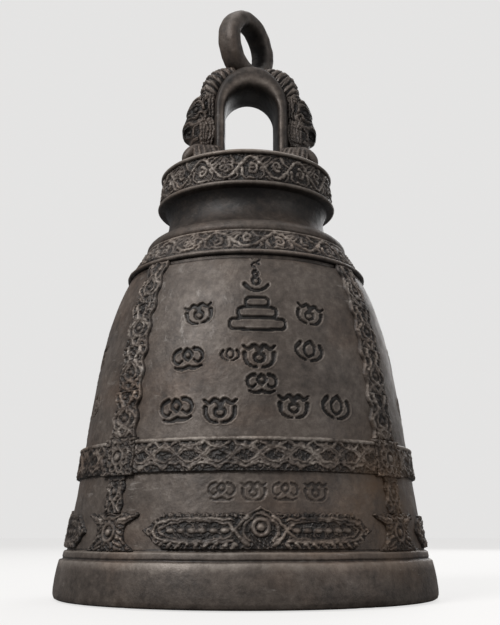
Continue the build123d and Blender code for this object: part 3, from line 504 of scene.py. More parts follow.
def cloud_mark():
    """A bare engraved cloud, the same on both sides: a double hump over a drop in a wide bowl, as
    a wax carver fills a field with."""
    side = threads(
        (0.9, 0.5, (0.2, 2.1), (1.8, 3.6), (3.4, 2.5), (5.2, 3.6)),
        (0.7, 0.5, (0.0, 1.0), (1.5, 0.2), (1.4, -1.1), (0.0, -2.0)),
        (0.85, 0.45, (4.7, 1.0), (4.4, -1.5), (2.6, -3.3), (0.8, -3.7)),
    )
    return both_sides(side)


def flame_mark():
    """An engraved bud between two leaves."""
    side = threads(
        (0.75, 0.5, (0.1, 3.6), (1.9, 1.6), (1.7, -0.8), (0.2, -2.2)),
        (0.85, 0.45, (3.9, 2.6), (5.2, 0.2), (3.6, -2.4), (0.9, -3.6)),
    )
    return both_sides(side)


def knot_mark():
    """An engraved lozenge between two hooks over a long bar."""
    side = threads(
        (0.75, 0.6, (0.0, 3.3), (1.5, 1.5), (0.0, -0.4)),
        (0.8, 0.45, (2.6, 3.4), (4.8, 2.4), (5.2, -0.2), (3.4, -1.4), (2.2, -0.4)),
        (0.8, 0.45, (0.2, -2.9), (2.6, -3.4), (4.8, -2.7)),
    )
    return both_sides(side)


def bar_outline(half, low, high):
    """Engraved outline of a round-ended bar, closed on itself."""
    r = (high - low) / 2
    t = np.linspace(0, 2 * pi, 41)
    u = (half - r) * np.clip(np.cos(t) * 1.8, -1, 1) + r * power(np.cos(t), 1.4)
    v = (low + high) / 2 + r * power(np.sin(t), 0.7)
    return np.stack([u, v, np.full(t.shape, 0.62)], -1)


def front_marks():
    """Engraved field of the front panel: a lotus bud of stacked bars and crescents on the middle
    line, with curls, buds and knots set round it in pairs."""
    bud = threads(
        (0.55, 0.4, (-1.3, 124.2), (0.3, 125.3), (1.5, 124.0), (0.3, 122.7)),
        (0.55, 0.4, (1.2, 121.6), (-0.4, 122.4), (-1.5, 121.2), (-0.3, 120.2)),
        (0.9, 0.6, (-4.4, 113.0), (-2.4, 111.0), (0, 110.4), (2.4, 111.0), (4.4, 113.0)),
    ) + [
        curl(0, 117.6, 1.3, 90, 1.0, 0.6, 0.5, 0.5),
        curl(0, 114.4, 1.7, 90, 1.0, 0.65, 0.55, 0.6),
        bar_outline(4.2, 103.9, 107.6),
        bar_outline(7.0, 99.6, 103.7),
        bar_outline(10.2, 94.9, 99.4),
    ]
    places = {
        cloud_mark: [
            (-21.6, 101.5, 1.0, 8), (19.9, 101.8, 1.0, -10), (0.4, 84.9, 1.1), (-13.6, 65.2, 1.1),
            (12.4, 66.9, 1.05), (-2.2, 37.6, 0.8), (19.4, 37.6, 0.8),
        ],
        knot_mark: [
            (-25.6, 84.5, 1.05, 4), (1.1, 74.9, 0.95), (-29.6, 66.0, 1.1, 6), (-13.0, 37.6, 0.8),
            (8.6, 37.6, 0.8),
        ],
        flame_mark: [(-10.0, 85.4, 0.62), (19.0, 87.6, 1.0, -8), (29.2, 67.4, 1.1, -8)],
    }
    out = list(bud)
    for mark, spots in places.items():
        for spot in spots:
            out += moved(mark(), *spot)
    return out


def field_marks():
    """Engraved field of the other panels: the same marks in a quiet pattern of their own."""
    out = moved(flame_mark(), 0, 104.0) + moved(knot_mark(), 0, 84.0)
    pairs = (cloud_mark(), 13.5, 92.0), (flame_mark(), 18.5, 72.0), (cloud_mark(), 6.5, 64.5)
    for mark, du, dv in pairs:
        out += moved(mark, -du, dv) + moved(mark, du, dv)
    return out


def panel(name):
    """Skin of the wall from strap to strap with its engraved marks and a carver's unevenness. The
    marks are fainter under the waist band, and the top draws in under the shoulder's cord, where it
    is also darkened as a painted shadow of the cord."""
    azimuth, half_angle = PANELS[name]
    front = name == "front"
    marks = front_marks() if front else field_marks()
    middle = float(wall(PANEL_MIDDLE_Z))

    def height(u, z):
        cut, bank_rise_and_highlight = groove(u / middle * wall(z), z, marks)
        uneven = 0.10 * unevenness(u, z, 34, 5) + 0.04 * unevenness(u, z, 7, 6)
        under_cord_sink_and_shadow = ease(z, 124.1, 124.8)
        faint = 1 - 0.55 * ease(-z, -46.0, -43.0)
        # Tone: the grooves' floors darkened as painted shade, their banks lightened as a painted
        # highlight, and the strip under the shoulder's cord darkened as a painted shadow.
        tone = (0.5 - 0.42 * faint * ease(cut, 0.08, 0.7) + 0.16 * bank_rise_and_highlight) * (1 - 0.9 * under_cord_sink_and_shadow)
        return uneven - cut * faint + 0.20 * bank_rise_and_highlight - 0.75 * under_cord_sink_and_shadow, tone

    half, depth, spacing = radians(half_angle) * middle, PANEL_SKIN + 0.4, 0.39 if front else 0.52
    name, heights = "panel_" + name, (PANEL_FOOT_Z, PANEL_TOP_Z)
    return wall_skin(name, azimuth, half, *heights, height, spacing, depth, 0.02)


# ---------------------------------------------------------------- straps
STRAP_PITCH = 17.15
STRAP_HALF = 6.1            # the half-width that the pattern is drawn at
STRAP_EDGE = (              # heights, and the outline's half-widths there
    (0.0, 1.4, 3.2, 6.8, 9.4, 11.5, 13.3, 15.4, 17.15),
    (6.0, 5.5, 5.3, 6.2, 5.5, 4.9, 5.8, 6.3, 6.0),
)


def strap_strokes():
    """One unit of the strap: ears at the top, strands that draw in, swell and close again, a drop
    with a bead in it, and a pair of leaves at the foot."""
    side = threads(
        (0.62, 0.45, (0.5, 17.6), (3.2, 17.0), (5.2, 16.6), (5.7, 15.0), (4.6, 13.7), (3.4, 14.6)),
        (
            0.68, 0.5, (3.0, 16.8), (2.9, 14.4), (1.3, 12.0), (2.6, 9.7), (4.9, 7.2), (4.6, 4.9),
            (2.4, 2.9), (0.5, 0.4),
        ),
        (0.5, 0.5, (0.0, 10.9), (1.4, 9.2), (2.7, 6.9), (2.0, 5.0), (0.0, 4.4)),
        (0.62, 0.35, (0.2, 4.0), (1.7, 3.3), (3.7, 1.7), (5.0, 0.2)),
        (0.45, 0.3, (4.9, 6.4), (5.7, 7.3), (5.2, 8.6)),
        (
            0.45, 0.4, (5.6, 0.2), (5.0, 3.2), (5.7, 6.4), (5.0, 9.6), (4.4, 11.8), (5.3, 14.2),
            (5.6, 16.8),
        ),
        (0.5, 0.35, (1.3, 14.8), (2.0, 13.4), (0.6, 12.4)),
        (0.5, 0.35, (3.4, 2.2), (2.2, 1.2), (1.6, 0.2)),
    ) + curls((4.1, 11.2, 0.9, 200, 0.8, 0.45, 0.35, 0.3))
    return both_sides(side)


def slab(edge, floor):
    """Plate with a soft cast edge: the floor's height inside the outline, sinking below the wall
    outside it. edge is how far inside the outline a point lies."""
    inside = ease(edge, -0.12, 0.5)
    return floor * inside - 0.9 * (1 - inside), inside


def plate(drawn, place, edge, floor, strokes, beads, lift):
    """Height and tone of a carved plate: the slab's floor, and inside its outline lift times the
    highest of the carved strokes and the beads. drawn is (across, up) as the pattern is drawn,
    and place is (across, height) as it lies on the wall."""
    base, inside = slab(edge, floor)
    relief = highest(carved(*drawn, strokes, *place), *beads) * inside
    return base + lift * relief, worn(*place, relief)


def upper_strap(corner, spacing):
    """Strap from the boss to the shoulder, four units one over the other."""
    low_z, high_z = 57.4, PANEL_TOP_Z
    strokes = fuller(strap_strokes())
    half_angle = radians(6.5)
    middle = float(wall((low_z + high_z) / 2))

    def height(u, z):
        across = u / middle * STRAP_HALF / half_angle
        v = (z - low_z) % STRAP_PITCH
        edge = spline_at(*STRAP_EDGE, v) - np.abs(across)
        beads = (bead(across, v, 0, 7.0, 1.05, 0.7), bead(across, v, 0, 0.6, 0.8, 0.6))
        return plate((across, v), (u, z), edge, 0.75, strokes, beads, 0.95)

    name, half = f"upper_strap_{corner}_relief", half_angle * middle * 1.02
    return wall_skin(name, CORNERS[corner], half, low_z, high_z, height, spacing)


def lower_strap(corner, spacing):
    """Short strap between the boss and the finial: a cup with a bead over a pair of leaves."""
    low_z, high_z = 30.9, 42.2
    side = threads(
        (0.55, 0.5, (0.0, 3.4), (1.5, 4.2), (2.3, 5.6), (2.2, 8.0)),
        (0.55, 0.4, (3.3, 8.2), (3.5, 5.6), (4.0, 4.2), (3.2, 3.2)),
        (0.5, 0.4, (0.1, 2.9), (1.2, 1.9), (1.6, 0.3)),
        (0.55, 0.4, (3.0, 3.4), (2.6, 1.8), (3.9, 0.4)),
    )
    strokes = fuller(stretched(both_sides(side), up=1.22))

    def height(u, z):
        v = z - low_z
        edge = 4.7 - 0.5 * np.cos(v * 2 * pi / 6.0) - np.abs(u)
        beads = (bead(u, v, 0, 7.6, 1.2, 0.7),)
        return plate((u, v), (u, z), edge, 0.75, strokes, beads, 0.95)

    name = f"lower_strap_{corner}_relief"
    return wall_skin(name, CORNERS[corner], 5.5, low_z, high_z, height, spacing)


# ---------------------------------------------------------------- waist band and bosses
def waist_strokes(half):
    """Two crossing doubled strands between cups that hang from the rail and humps on the foot."""
    u = np.arange(-half - 4, half + 4.01, 0.6)
    lines = [
        (10.6 - 2.7 * np.abs(np.sin(pi * u / BEAD_PITCH)), 0.483),
        (0.9 + 2.0 * np.abs(np.cos(pi * u / BEAD_PITCH)), 0.46),
    ]
    for phase in (0, pi):
        wave = 5.3 + 2.9 * np.sin(pi * u / BEAD_PITCH + phase)
        lines += [(wave + 0.62, 0.46), (wave - 0.62, 0.414)]
    return [np.stack([u, line, np.full(u.shape, width)], -1) for line, width in lines]


def waist_band(name, spacing):
    """Band between two bosses: a rounded rail over the strands, and a sharp foot."""
    azimuth, half_angle = PANELS[name]
    half = radians(half_angle - BOSS_HALF_ANGLE + 0.3) * float(wall(BOSS_Z))
    strokes = fuller(waist_strokes(half), 1.4)
    cups = (np.arange(-5, 6) + 0.5) * BEAD_PITCH

    def height(u, z):
        v = z - BAND_BOTTOM_Z
        beads = [bead(u, v, at, 9.6, 0.8, 0.5) for at in cups]
        beads += [bead(u, v, at + BEAD_PITCH / 2, 1.6, 0.7, 0.45) for at in cups]
        rail = 0.95 * hump(((v - 11.0) / 0.95) ** 2)
        relief = highest(carved(u, v, strokes, u, z, 0.5, 0.45), rail, *beads)
        return (0.95 + 0.95 * relief) * (1 - 0.5 * ease(v, 11.3, 11.8)), worn(u, z, relief)

    name = f"waist_band_{name}_relief"
    return wall_skin(name, azimuth, half, BAND_BOTTOM_Z, BAND_TOP_Z, height, spacing)


def boss_strokes():
    """A ring of eight petals, and a leaf with its curl in each of the boss's four corners."""
    petal = threads((0.45, 0.45, (3.3, -0.9), (4.6, -1.4), (5.5, 0.0), (4.6, 1.4), (3.3, 0.9)))
    leaf = curls((6.5, 5.0, 1.5, 40, 0.9, 0.5, 0.4, 0.3)) + threads(
        (0.45, 0.35, (7.9, 0.6), (7.3, 2.2), (7.6, 3.6)),
        (0.45, 0.4, (1.6, 6.2), (3.2, 5.6), (4.6, 6.4)),
    )
    strokes = []
    for k in range(8):
        strokes += moved(petal, turn=45 * k + 22.5)
    for up in (-1, 1):
        strokes += both_sides(stretched(leaf, up=up))
    return strokes


def crossing_boss(corner, spacing):
    """Square boss with a domed eye in a ring, petals round it, curls in its corners and a lobed
    tab at its foot."""
    strokes = fuller(boss_strokes(), 1.3)
    tab = threads((0.5, 0.5, (-4.2, -7.9), (-2.4, -8.5), (0, -8.1), (2.4, -8.5), (4.2, -7.9)))
    petals = [(4.5 * cos(radians(45 * k)), 4.5 * sin(radians(45 * k))) for k in range(8)]

    def height(u, z):
        v = z - BOSS_Z
        square = np.minimum(8.25 - np.abs(u), 7.0 - np.abs(v))
        foot = np.minimum(4.7 - np.abs(u) + 0.25 * np.cos(u * 2.2), 8.8 + v + 0.3 * np.cos(u * 2.4))
        base, inside = slab(square, 1.45)
        tab_base, tab_inside = slab(foot, 0.9)
        beads = [bead(u, v, 0, 0, 1.55, 1.1)] + [bead(u, v, *at, 0.7, 0.5) for at in petals]
        relief = highest(carved(u, v, strokes, u, z), hoop(u, v, 0, 0, 2.75, 0.65), *beads) * inside
        low = threads_height(u, v, tab) * tab_inside
        return np.maximum(base + 1.1 * relief, tab_base + low), worn(u, z, np.maximum(relief, low))

    name = f"crossing_boss_{corner}_relief"
    return wall_skin(name, CORNERS[corner], 8.7, 41.6, 57.6, height, spacing)


def finial(corner, spacing):
    """Winged finial: pointed leaves for wings, a ringed eye under them, a full waist and leaves at
    its foot."""
    side_z = (18.0, 19.0, 20.6, 22.0, 23.4, 25.0, 26.4, 27.6, 28.6, 29.6, 30.6, 31.4)
    side_u = (12.4, 11.6, 9.0, 7.8, 7.4, 7.3, 7.7, 8.9, 11.2, 12.9, 13.4, 12.0)
    side = threads(
        (0.72, 0.5, (0.2, 29.4), (2.0, 29.0), (4.0, 29.6), (5.8, 30.3)),
        (0.95, 0.35, (4.9, 28.3), (7.2, 28.9), (10.0, 29.5), (12.9, 30.4)),
        (0.7, 0.3, (3.8, 27.3), (6.0, 27.6), (8.4, 28.0), (10.4, 28.6)),
        (0.5, 0.4, (0.2, 30.9), (2.4, 30.5), (4.2, 30.9)),
        (0.6, 0.4, (0.2, 27.9), (1.8, 27.4), (3.2, 28.0)),
        (0.6, 0.4, (4.3, 26.6), (5.6, 25.8), (6.9, 26.2)),
        (0.6, 0.4, (4.3, 25.0), (5.4, 24.0), (6.7, 23.9)),
        (0.8, 0.4, (4.5, 22.9), (6.4, 22.2), (8.0, 21.2), (10.4, 20.6)),
        (0.7, 0.4, (3.4, 21.3), (5.0, 20.4), (7.4, 19.7)),
        (0.65, 0.45, (0.8, 21.2), (1.7, 20.2), (2.4, 19.0)),
        (0.6, 0.4, (3.9, 19.5), (5.4, 18.9), (7.0, 18.7)),
    ) + curls((9.9, 19.5, 1.1, 60, -0.8, 0.55, 0.4, 0.3))
    strokes = both_sides(side)

    def height(u, z):
        edge = np.minimum(spline_at(side_z, side_u, z) - np.abs(u), 31.1 + 0.35 * np.cos(u) - z)
        beads = (hoop(u, z, 0, 24.4, 2.9, 0.75), bead(u, z, 0, 24.4, 1.45, 1.1))
        return plate((u, z), (u, z), edge, 0.7, strokes, beads, 1.05)

    name = f"finial_{corner}_relief"
    return wall_skin(name, CORNERS[corner], 13.6, 18.2, 31.6, height, spacing)


# ---------------------------------------------------------------- cartouches over the lip
def cartouche_strokes(tip):
    """Right half of a cartouche whose point lies this far out, in (across, height over its middle):
    a border that is the same above and below, and the arch, leaves and curls."""
    border = threads(
        (0.5, 0.5, (9.0, 3.4), (tip - 8.4, 3.3), (tip - 4.2, 1.9), (tip - 2.9, 0.0)),
        (0.38, 0.38, (9.4, 2.2), (tip - 8.8, 2.1), (tip - 6.0, 0.9), (tip - 5.0, 0.0)),
        (0.6, 0.5, (4.2, 4.6), (6.4, 2.6), (8.6, 0.0), (10.4, -2.0)),
    ) + curls((tip - 4.6, 3.5, 1.4, 220, 0.85, 0.5, 0.4, 0.3))
    side = threads(
        (0.5, 0.5, (3.9, 3.2), (5.2, 1.6), (5.4, -1.6), (3.9, -3.2)),
        (0.5, 0.4, (0.0, 7.6), (2.0, 6.5), (4.6, 5.3), (7.0, 5.5)),
        (0.45, 0.4, (0.0, 5.8), (1.8, 5.0), (3.4, 3.8)),
    ) + curls((tip - 1.5, 0.0, 1.3, 180, 0.85, 0.5, 0.4, 0.3))
    for at in np.arange(8.2, tip - 6.5, 3.1):
        side.append(thread(0.62, 0.42, (at, -4.3), (at + 0.8, -5.1), (at + 1.2, -5.9)))
        side.append(curl(at + 0.9, 5.1, 0.95, 200, -0.75, 0.45, 0.35, 0.3))
    return both_sides(border + stretched(border, up=-1) + side)


def cartouche(name, spacing):
    """Long pointed cartouche: a lobed border, a double line round two panels of ovals, and an eye
    in a ring under a pointed arch."""
    azimuth, half_angle = PANELS[name]
    middle_z = 24.9
    middle = float(wall(middle_z))
    tip = middle * radians(half_angle - 12.9) - 1.4
    strokes = fuller(cartouche_strokes(tip), 1.3)
    ovals = np.arange(11.8, tip - 6.6, 3.7)

    def height(u, z):
        v = z - middle_z
        a = np.abs(u)
        lobes = 0.28 * np.cos(a * 2 * pi / 3.1)
        arch = 8.4 - 0.55 * a
        top = np.maximum(5.95 + lobes, arch) - v
        bottom = 6.3 + v
        point = (tip + 0.2 - a) * 0.75 - np.abs(v) + 1.2 + 0.3 * np.cos(v * 1.9)
        edge = np.minimum(np.minimum(top, bottom), point)
        beads = [0.75 * np.sqrt(oval(a, v, (at, 0), 1.65, 1.0)) for at in ovals]
        beads += [hoop(u, v, 0, 1.1, 2.6, 0.8), bead(u, v, 0, 1.1, 1.5, 1.1)]
        return plate((u, v), (u, z), edge, 0.75, strokes, beads, 1.0)

    name = f"cartouche_{name}_relief"
    return wall_skin(name, azimuth, tip + 1.2, 18.3, 33.9, height, spacing)


# ---------------------------------------------------------------- rings of vine
def vine_strokes(pitch, high, flower):
    """One pitch of a running vine: a stem that waves over and under, a curl with leaves round it
    in each bay, and a six-petalled flower in one of them. In the rows the places across are
    shares of the pitch."""
    m = high / 2
    rows = (
        (0.6, 0.6, (0, m - 0.4), (0.25, high - 1.3), (0.5, m + 0.1), (0.75, 1.3), (1, m - 0.4)),
        (0.6, 0.35, (0.42, m + 1.6), (0.52, high - 1.6), (0.6, high - 1.0)),
        (0.6, 0.35, (0.47, m + 0.9), (0.57, m + 2.6), (0.68, high - 1.2)),
        (0.55, 0.35, (0.55, m + 0.4), (0.62, m + 1.9), (0.76, high - 1.4)),
        (0.5, 0.35, (0.36, high - 1.6), (0.43, high - 1.0), (0.5, high - 0.7)),
        (0.55, 0.35, (0.86, high - 1.2), (0.96, m + 1.6), (1.04, m + 1.3)),
        (0.6, 0.35, (0.08, m - 0.6), (0.1, 1.9), (0.16, 1.0)),
        (0.55, 0.35, (0.2, 1.3), (0.3, 0.9), (0.4, 1.5)),
        (0.6, 0.35, (0.45, m - 0.2), (0.48, 2.0), (0.42, 1.0)),
        (0.5, 0.35, (0.55, 1.6), (0.6, 0.9), (0.67, 0.7)),
        (0.55, 0.35, (0.95, m - 1.2), (0.99, 2.1), (0.93, 1.0)),
    )
    strokes = [
        thread(width, tip, *((pitch * at, v) for at, v in points)) for width, tip, *points in rows
    ]
    strokes.append(curl(pitch * 0.27, m - 0.9, 2.3, 100, -1.15, 0.6, 0.45, 0.22))
    if flower:
        petal = threads((0.5, 0.5, (1.0, -0.5), (2.0, -0.9), (2.9, 0.0), (2.0, 0.9), (1.0, 0.5)))
        for k in range(6):
            strokes += moved(petal, pitch * FLOWER_AT, m + 0.9, 1.0, 60 * k + 30)
    else:
        strokes.append(curl(pitch * FLOWER_AT, m + 1.0, 2.2, 280, -1.15, 0.6, 0.45, 0.22))
    return strokes


def vine(u, v, radius, high, bays, flowers, shift):
    """Height of the vine all round the bell: the pitch is the way round divided by the bays, and
    the strokes are drawn in each bay where its part of the ring is."""
    way_round = 2 * pi * radius
    pitch = way_round / bays
    relief = np.zeros(u.shape)
    for k in range(bays):
        here = (u - shift - k * pitch + way_round / 2) % way_round - way_round / 2
        spot = (here > -4) & (here < pitch + 4)
        strokes = fuller(vine_strokes(pitch, high, k in flowers))
        height = carved(here[spot], v[spot], strokes, u[spot], v[spot])
        if k in flowers:
            heart = bead(here[spot], v[spot], pitch * FLOWER_AT, high / 2 + 0.9, 0.85, 0.7)
            height = np.maximum(height, heart)
        relief[spot] = np.maximum(relief[spot], height)
    return relief


def shoulder_band():
    """Ring over the shoulder: a thick cord at its foot, turned under, and the vine above it."""
    radius, low_z, high_z, cord_z = 46.0, 128.3, 137.8, 127.1
    angle = np.radians(np.linspace(-120, 62, 14))
    cord = np.stack([wall(cord_z) + 0.6 + 1.35 * np.cos(angle), cord_z + 1.1 * np.sin(angle)], -1)
    z = np.linspace(low_z, high_z, 46)
    field = np.stack([wall(z) + 0.35, z], -1)
    z = np.array([high_z, 132.0, 126.4])
    back = np.stack([wall(z) - BURIED, z], -1)
    r, z, t = lathe(np.concatenate([cord, field, back]), BAND_COLUMNS, -pi)
    foot, rows = slice(0, len(cord)), slice(len(cord), len(cord) + len(field))
    u, v, high = t[rows] * radius, z[rows] - low_z, high_z - low_z
    edge = 0.8 * ease(v, high - 1.1, high - 0.3)
    relief = np.maximum(vine(u, v, radius, high, 12, (2, 7), 3.0), edge)
    r[rows] += 1.1 * relief
    z[rows] += 0.4 * relief
    tone = np.zeros(r.shape)
    tone[rows] = worn(u, v, relief)
    # The cord's tone round its section: dark underneath as painted shade and paler on top as
    # painted light.
    lit = along_table(np.degrees(angle), ((-120, 0), (-70, 0), (-20, 0.4), (30, 0.7), (62, 0.5)))
    tone[foot] = lit[:, None]
    r[foot] += 0.07 * unevenness(t[foot] * 47, z[foot], 9, 8)
    return ring_grid("shoulder_band_relief", round_about(r, t, z), tone)


def crown_band():
    """Ring between the disc's rims, with the vine all round it."""
    radius, low_z, high_z, bays = 37.2, 160.25, 172.15, 11
    z = np.linspace(low_z, high_z, 56)
    front = np.stack([36.65 - 1.1 * (z - 160.2) / 12.0, z], -1)
    r, z, t = lathe([*front, (34.6, high_z), (34.9, low_z)], BAND_COLUMNS, -pi)
    rows = slice(0, len(front))
    u, v = t[rows] * radius, z[rows] - low_z
    start = radians(FLOWER_AZIMUTH) * radius - 2 * pi * radius / bays * FLOWER_AT
    relief = vine(u, v, radius, high_z - low_z, bays, (0, 4, 8), start)
    r[rows] += 1.15 * relief
    tone = np.zeros(r.shape)
    tone[rows] = worn(u, v, relief)
    return ring_grid("crown_band_relief", round_about(r, t, z), tone)


# Tones up the cap by height, with painted light: the neck and the disc's underside darkened as a
# painted shadow of the disc (147 to 158.3), light lines painted as highlights on the lower rim
# (159.1) and the upper rim (172.6 to 173.6), and dark behind the vine band.
CAP_TONES_WITH_PAINTED_LIGHT = (
    (143.4, 0.30), (147, 0.26), (151, 0.16), (154.8, 0.06), (157.0, 0.02), (158.3, 0.1),
    (159.1, 0.75), (159.8, 0.6), (160.4, 0.2), (161, 0.0), (171.5, 0.0), (172.6, 0.8),
    (173.6, 0.85), (176, 0.5), (181, 0.45),
)
DOME_R, DOME_RISE, DOME_TOP_Z = 36.3, 7.0, 180.8


def crown_cap():
    """Neck, disc with its two rims, and the low dome, bored from below: one line turned about Z.
    The dome is part of a sphere of radius (r^2 + h^2) / 2h."""
    neck = arc_through((37.6, BELL_TOP_Z), (34.0, 148.0), (33.4, 154.8), 14)
    disc = [
        (33.4, 154.8), (34.9, 158.0), (37.6, 158.6), (38.2, 159.4), (37.8, 160.2), (35.4, 160.3),
        (34.4, 172.1), (36.6, 172.2), (37.1, 173.0), (36.3, 173.8), (34.0, 174.9),
    ]
    sphere = (DOME_R**2 + DOME_RISE**2) / (2 * DOME_RISE)
    r = np.linspace(33.0, 0.0, 24)[:-1]
    dome = list(zip(r, DOME_TOP_Z - sphere + np.sqrt(sphere**2 - r**2)))
    under = [(0.5, 168.8), (12.0, 168.8), (21.5, 168.8), (25.5, 167.2), (27.3, 163.8)]
    bore = [(NECK_BORE, 160.0), (NECK_BORE, 150.0), (NECK_BORE, 144.0), (28.0, BELL_TOP_Z)]
    line = [*under, *bore, *neck, *eased_corners(disc, 0.35)[1:], *dome, (0.5, DOME_TOP_Z)]
    r, z = np.array(line).T
    tone = np.where((r > 27.6) | (z > 174), along_table(z, CAP_TONES_WITH_PAINTED_LIGHT), 0.3)
    return turned("crown_cap_turned", line, 480, tone[:, None])


# ---------------------------------------------------------------- yoke and ring
ARCH_INSIDE = 11.0          # half-width of the arch's opening
RING_R, RING_Z = 13.4, 238.5
RING_YAW = radians(50.7)


def section_ring(count, flat):
    """Closed section |a|^n + |b|^n = 1 as cos and sin raised to 2/n, for a from -1 to 1 across the
    rib's thickness and b from -1 to 1 across its depth, as one row each."""
    t = np.linspace(0, 2 * pi, count, endpoint=False)
    return power(np.cos(t), 2 / flat)[None, :], power(np.sin(t), 2 / flat)[None, :]


def arch_line(half, spring_z, high):
    """Points (x, z) up a leg, over half an ellipse and down the other leg."""
    leg = np.stack([np.full(26, half), np.linspace(175.5, spring_z, 26)], -1)
    turn = np.linspace(0, pi, 90)[1:-1]
    bow = np.stack([half * np.cos(turn), spring_z + high * np.sin(turn)], -1)
    return np.concatenate([leg, bow, leg[::-1] * (-1, 1)])


def arch():
    """Rib of the yoke: a rounded section carried up one leg, over the arch and down the other. The
    inside is a circle, the outside an ellipse, and the section lies between the two."""
    inner = arch_line(ARCH_INSIDE, 202.7, ARCH_INSIDE)
    outer = arch_line(16.2, 204.3, 21.3)
    a, b = section_ring(96, 3.6)
    share = (a + 1) / 2
    x = inner[:, :1] + (outer[:, :1] - inner[:, :1]) * share
    z = inner[:, 1:] + (outer[:, 1:] - inner[:, 1:]) * share
    y = np.repeat(b * 12.0, len(x), 0)
    uneven = 0.12 * unevenness(x + 0.7 * z, y + z, 9, 21)
    y = y * 0.988 + np.sign(y) * uneven
    x, z = x + 0.5 * uneven, z - 0.08 + 0.3 * uneven
    # Tone: the soffit darkened as painted shade, and a paler band on the front and back faces near
    # the inside edge.
    soffit_painted_shade = ease(-a, 0.55, 0.95)
    rim = np.exp(-(((a + 0.35) / 0.3) ** 2)) * np.abs(b) ** 8
    tone = (0.26 + 0.34 * rim) * (1 - 0.82 * soffit_painted_shade) + 0.06 * unevenness(x, z, 9, 22)
    return capped_grid("yoke_rib", np.stack([x + YOKE_OFFSET, y, z], -1), tone)


def ring():
    """Heavy ring: a rounded bar section (out, across) carried round a circle of radius R in an
    upright plane turned about Z. The point at angle q is (R + out) (e cos q + Z sin q) + across n,
    with e level in that plane and n square to it."""
    q = np.linspace(0, 2 * pi, 200, endpoint=False)[:, None]
    a, b = section_ring(96, 3.0)
    uneven = 0.13 * unevenness(q * 13, np.arctan2(b, a) * 4, 9, 31)
    out = RING_R + np.where(a > 0, 3.5, 4.2) * a + uneven * a
    across = 4.95 * b * (1 - 0.14 * np.clip(a, 0, 1) ** 2) + uneven * b
    along, up = out * np.cos(q), out * np.sin(q)
    x = along * cos(RING_YAW) - across * sin(RING_YAW)
    y = along * sin(RING_YAW) + across * cos(RING_YAW)
    # Tone: a painted highlight towards the edges of the bar's outer face, and painted shade over
    # the inside of the hole.
    painted_glint_and_hole_shade = 0.24 * np.abs(a) ** 6 * np.abs(b) ** 2 - 0.36 * ease(-a, 0.5, 0.95)
    tone = 0.44 + painted_glint_and_hole_shade + 0.06 * unevenness(q * 13, b * 5, 12, 33)
    return ring_grid("hanging_ring_cast", np.stack([x, y, RING_Z + up], -1), tone)


def tube(name, path, radii):
    """Closed round bar along a path that keeps to a plane y = const: at every point of a smooth
    line through the path, a circle of its radius spanned by the Y axis and the line's normal."""
    path = np.array(path, float)
    knots = np.concatenate([[0], np.cumsum(np.linalg.norm(np.diff(path, axis=0), axis=1))])
    s = np.linspace(0, knots[-1], 40)
    line = np.stack([spline_at(knots, path[:, k], s) for k in range(3)], -1)
    r = spline_at(knots, radii, s)
    r[0], r[-1] = 0.3, 0.25
    along = np.gradient(line, axis=0)
    along /= np.linalg.norm(along, axis=1)[:, None]
    side = np.array([0.0, 1.0, 0.0]) + 0 * along
    normal = np.cross(along, side)
    t = np.linspace(0, 2 * pi, 36, endpoint=False)[None, :, None]
    circle = np.cos(t) * side[:, None] + np.sin(t) * normal[:, None]
    return capped_grid(name, line[:, None] + r[:, None, None] * circle, 0.45)


def toes(side):
    """Three toes of a paw, each a bent tapered bar that ends in a blunt claw."""
    places = (
        (20.6, 1, 185.0), (23.6, 1, 184.9), (26.6, 1.03, 183.0), (28.7, 1.05, 180.2),
        (29.5, 1.06, 177.6),
    )
    out = []
    for k, y in enumerate((-9.2, 0.0, 9.2)):
        path = [(side * (x - DRAWN_IN[side]), y * spread, z) for x, spread, z in places]
        out.append(tube(f"yoke_foot_{SIDES[side]}_toe_{k + 1}", path, (1.6, 2.3, 2.5, 1.9, 0.7)))
    return out


def foot(side):
    """Mound round a leg of the yoke: level sections |x|^n + |y|^n = 1 that shrink upwards, with
    tendons running down its outer half towards the toes."""
    inner_x, outer_x = ARCH_INSIDE + side * YOKE_OFFSET, 27.3 - DRAWN_IN[side]
    middle, half, deep = (inner_x + outer_x) / 2, (outer_x - inner_x) / 2, 15.3
    s = np.linspace(0, 1, 60)[:, None]
    t = np.linspace(0, 2 * pi, 260, endpoint=False)[None, :]
    shrink = 1 - 0.10 * s - 0.28 * np.clip((s - 0.74) / 0.26, 0, 1) ** 2.6
    x = middle + half * power(np.cos(t), 0.55) * shrink
    y = deep * power(np.sin(t), 0.55) * shrink
    z = 175.2 + 11.3 * s + 0 * t
    around = np.degrees(np.arctan2(y / deep, (x - middle) / half))
    tendons = [
        thread(0.8, 1.1, (2.66 * k, 186.6), (3.04 * k, 182.0), (3.23 * k, 176.0))
        for k in range(-9, 10)
    ]
    outer_half = ease(-np.abs(around), -172, -140)
    relief = carved(around * 0.19, z, tendons, around * 0.2, z, 0.5, 0.3) * outer_half
    swell = 1 + 0.035 * relief
    points = np.stack([side * (middle + (x - middle) * swell), y * swell, z], -1)
    # Tone: paler on the tendons, leaving the ground between them darker as painted shade.
    return capped_grid(f"yoke_foot_{SIDES[side]}_cast", points, np.clip(0.25 + 0.35 * relief, 0, 1))


MANE_AT = (0.0, 4.6, 9.4, 13.9, 18.2, 22.8, 27.6)    # along the crest; then (x, z) of both lines
MANE_CREST = (
    (5.2, 9.7, 14.1, 17.9, 20.4, 21.9, 22.4),
    (226.0, 226.3, 225.6, 223.6, 220.4, 216.2, 211.0),
)
MANE_ROOT = (
    (4.4, 7.2, 10.2, 12.8, 14.6, 15.6, 16.0),
    (221.6, 220.9, 219.2, 216.6, 213.4, 210.4, 206.6),
)
MANE_BACK = 5               # points across the mane's buried back


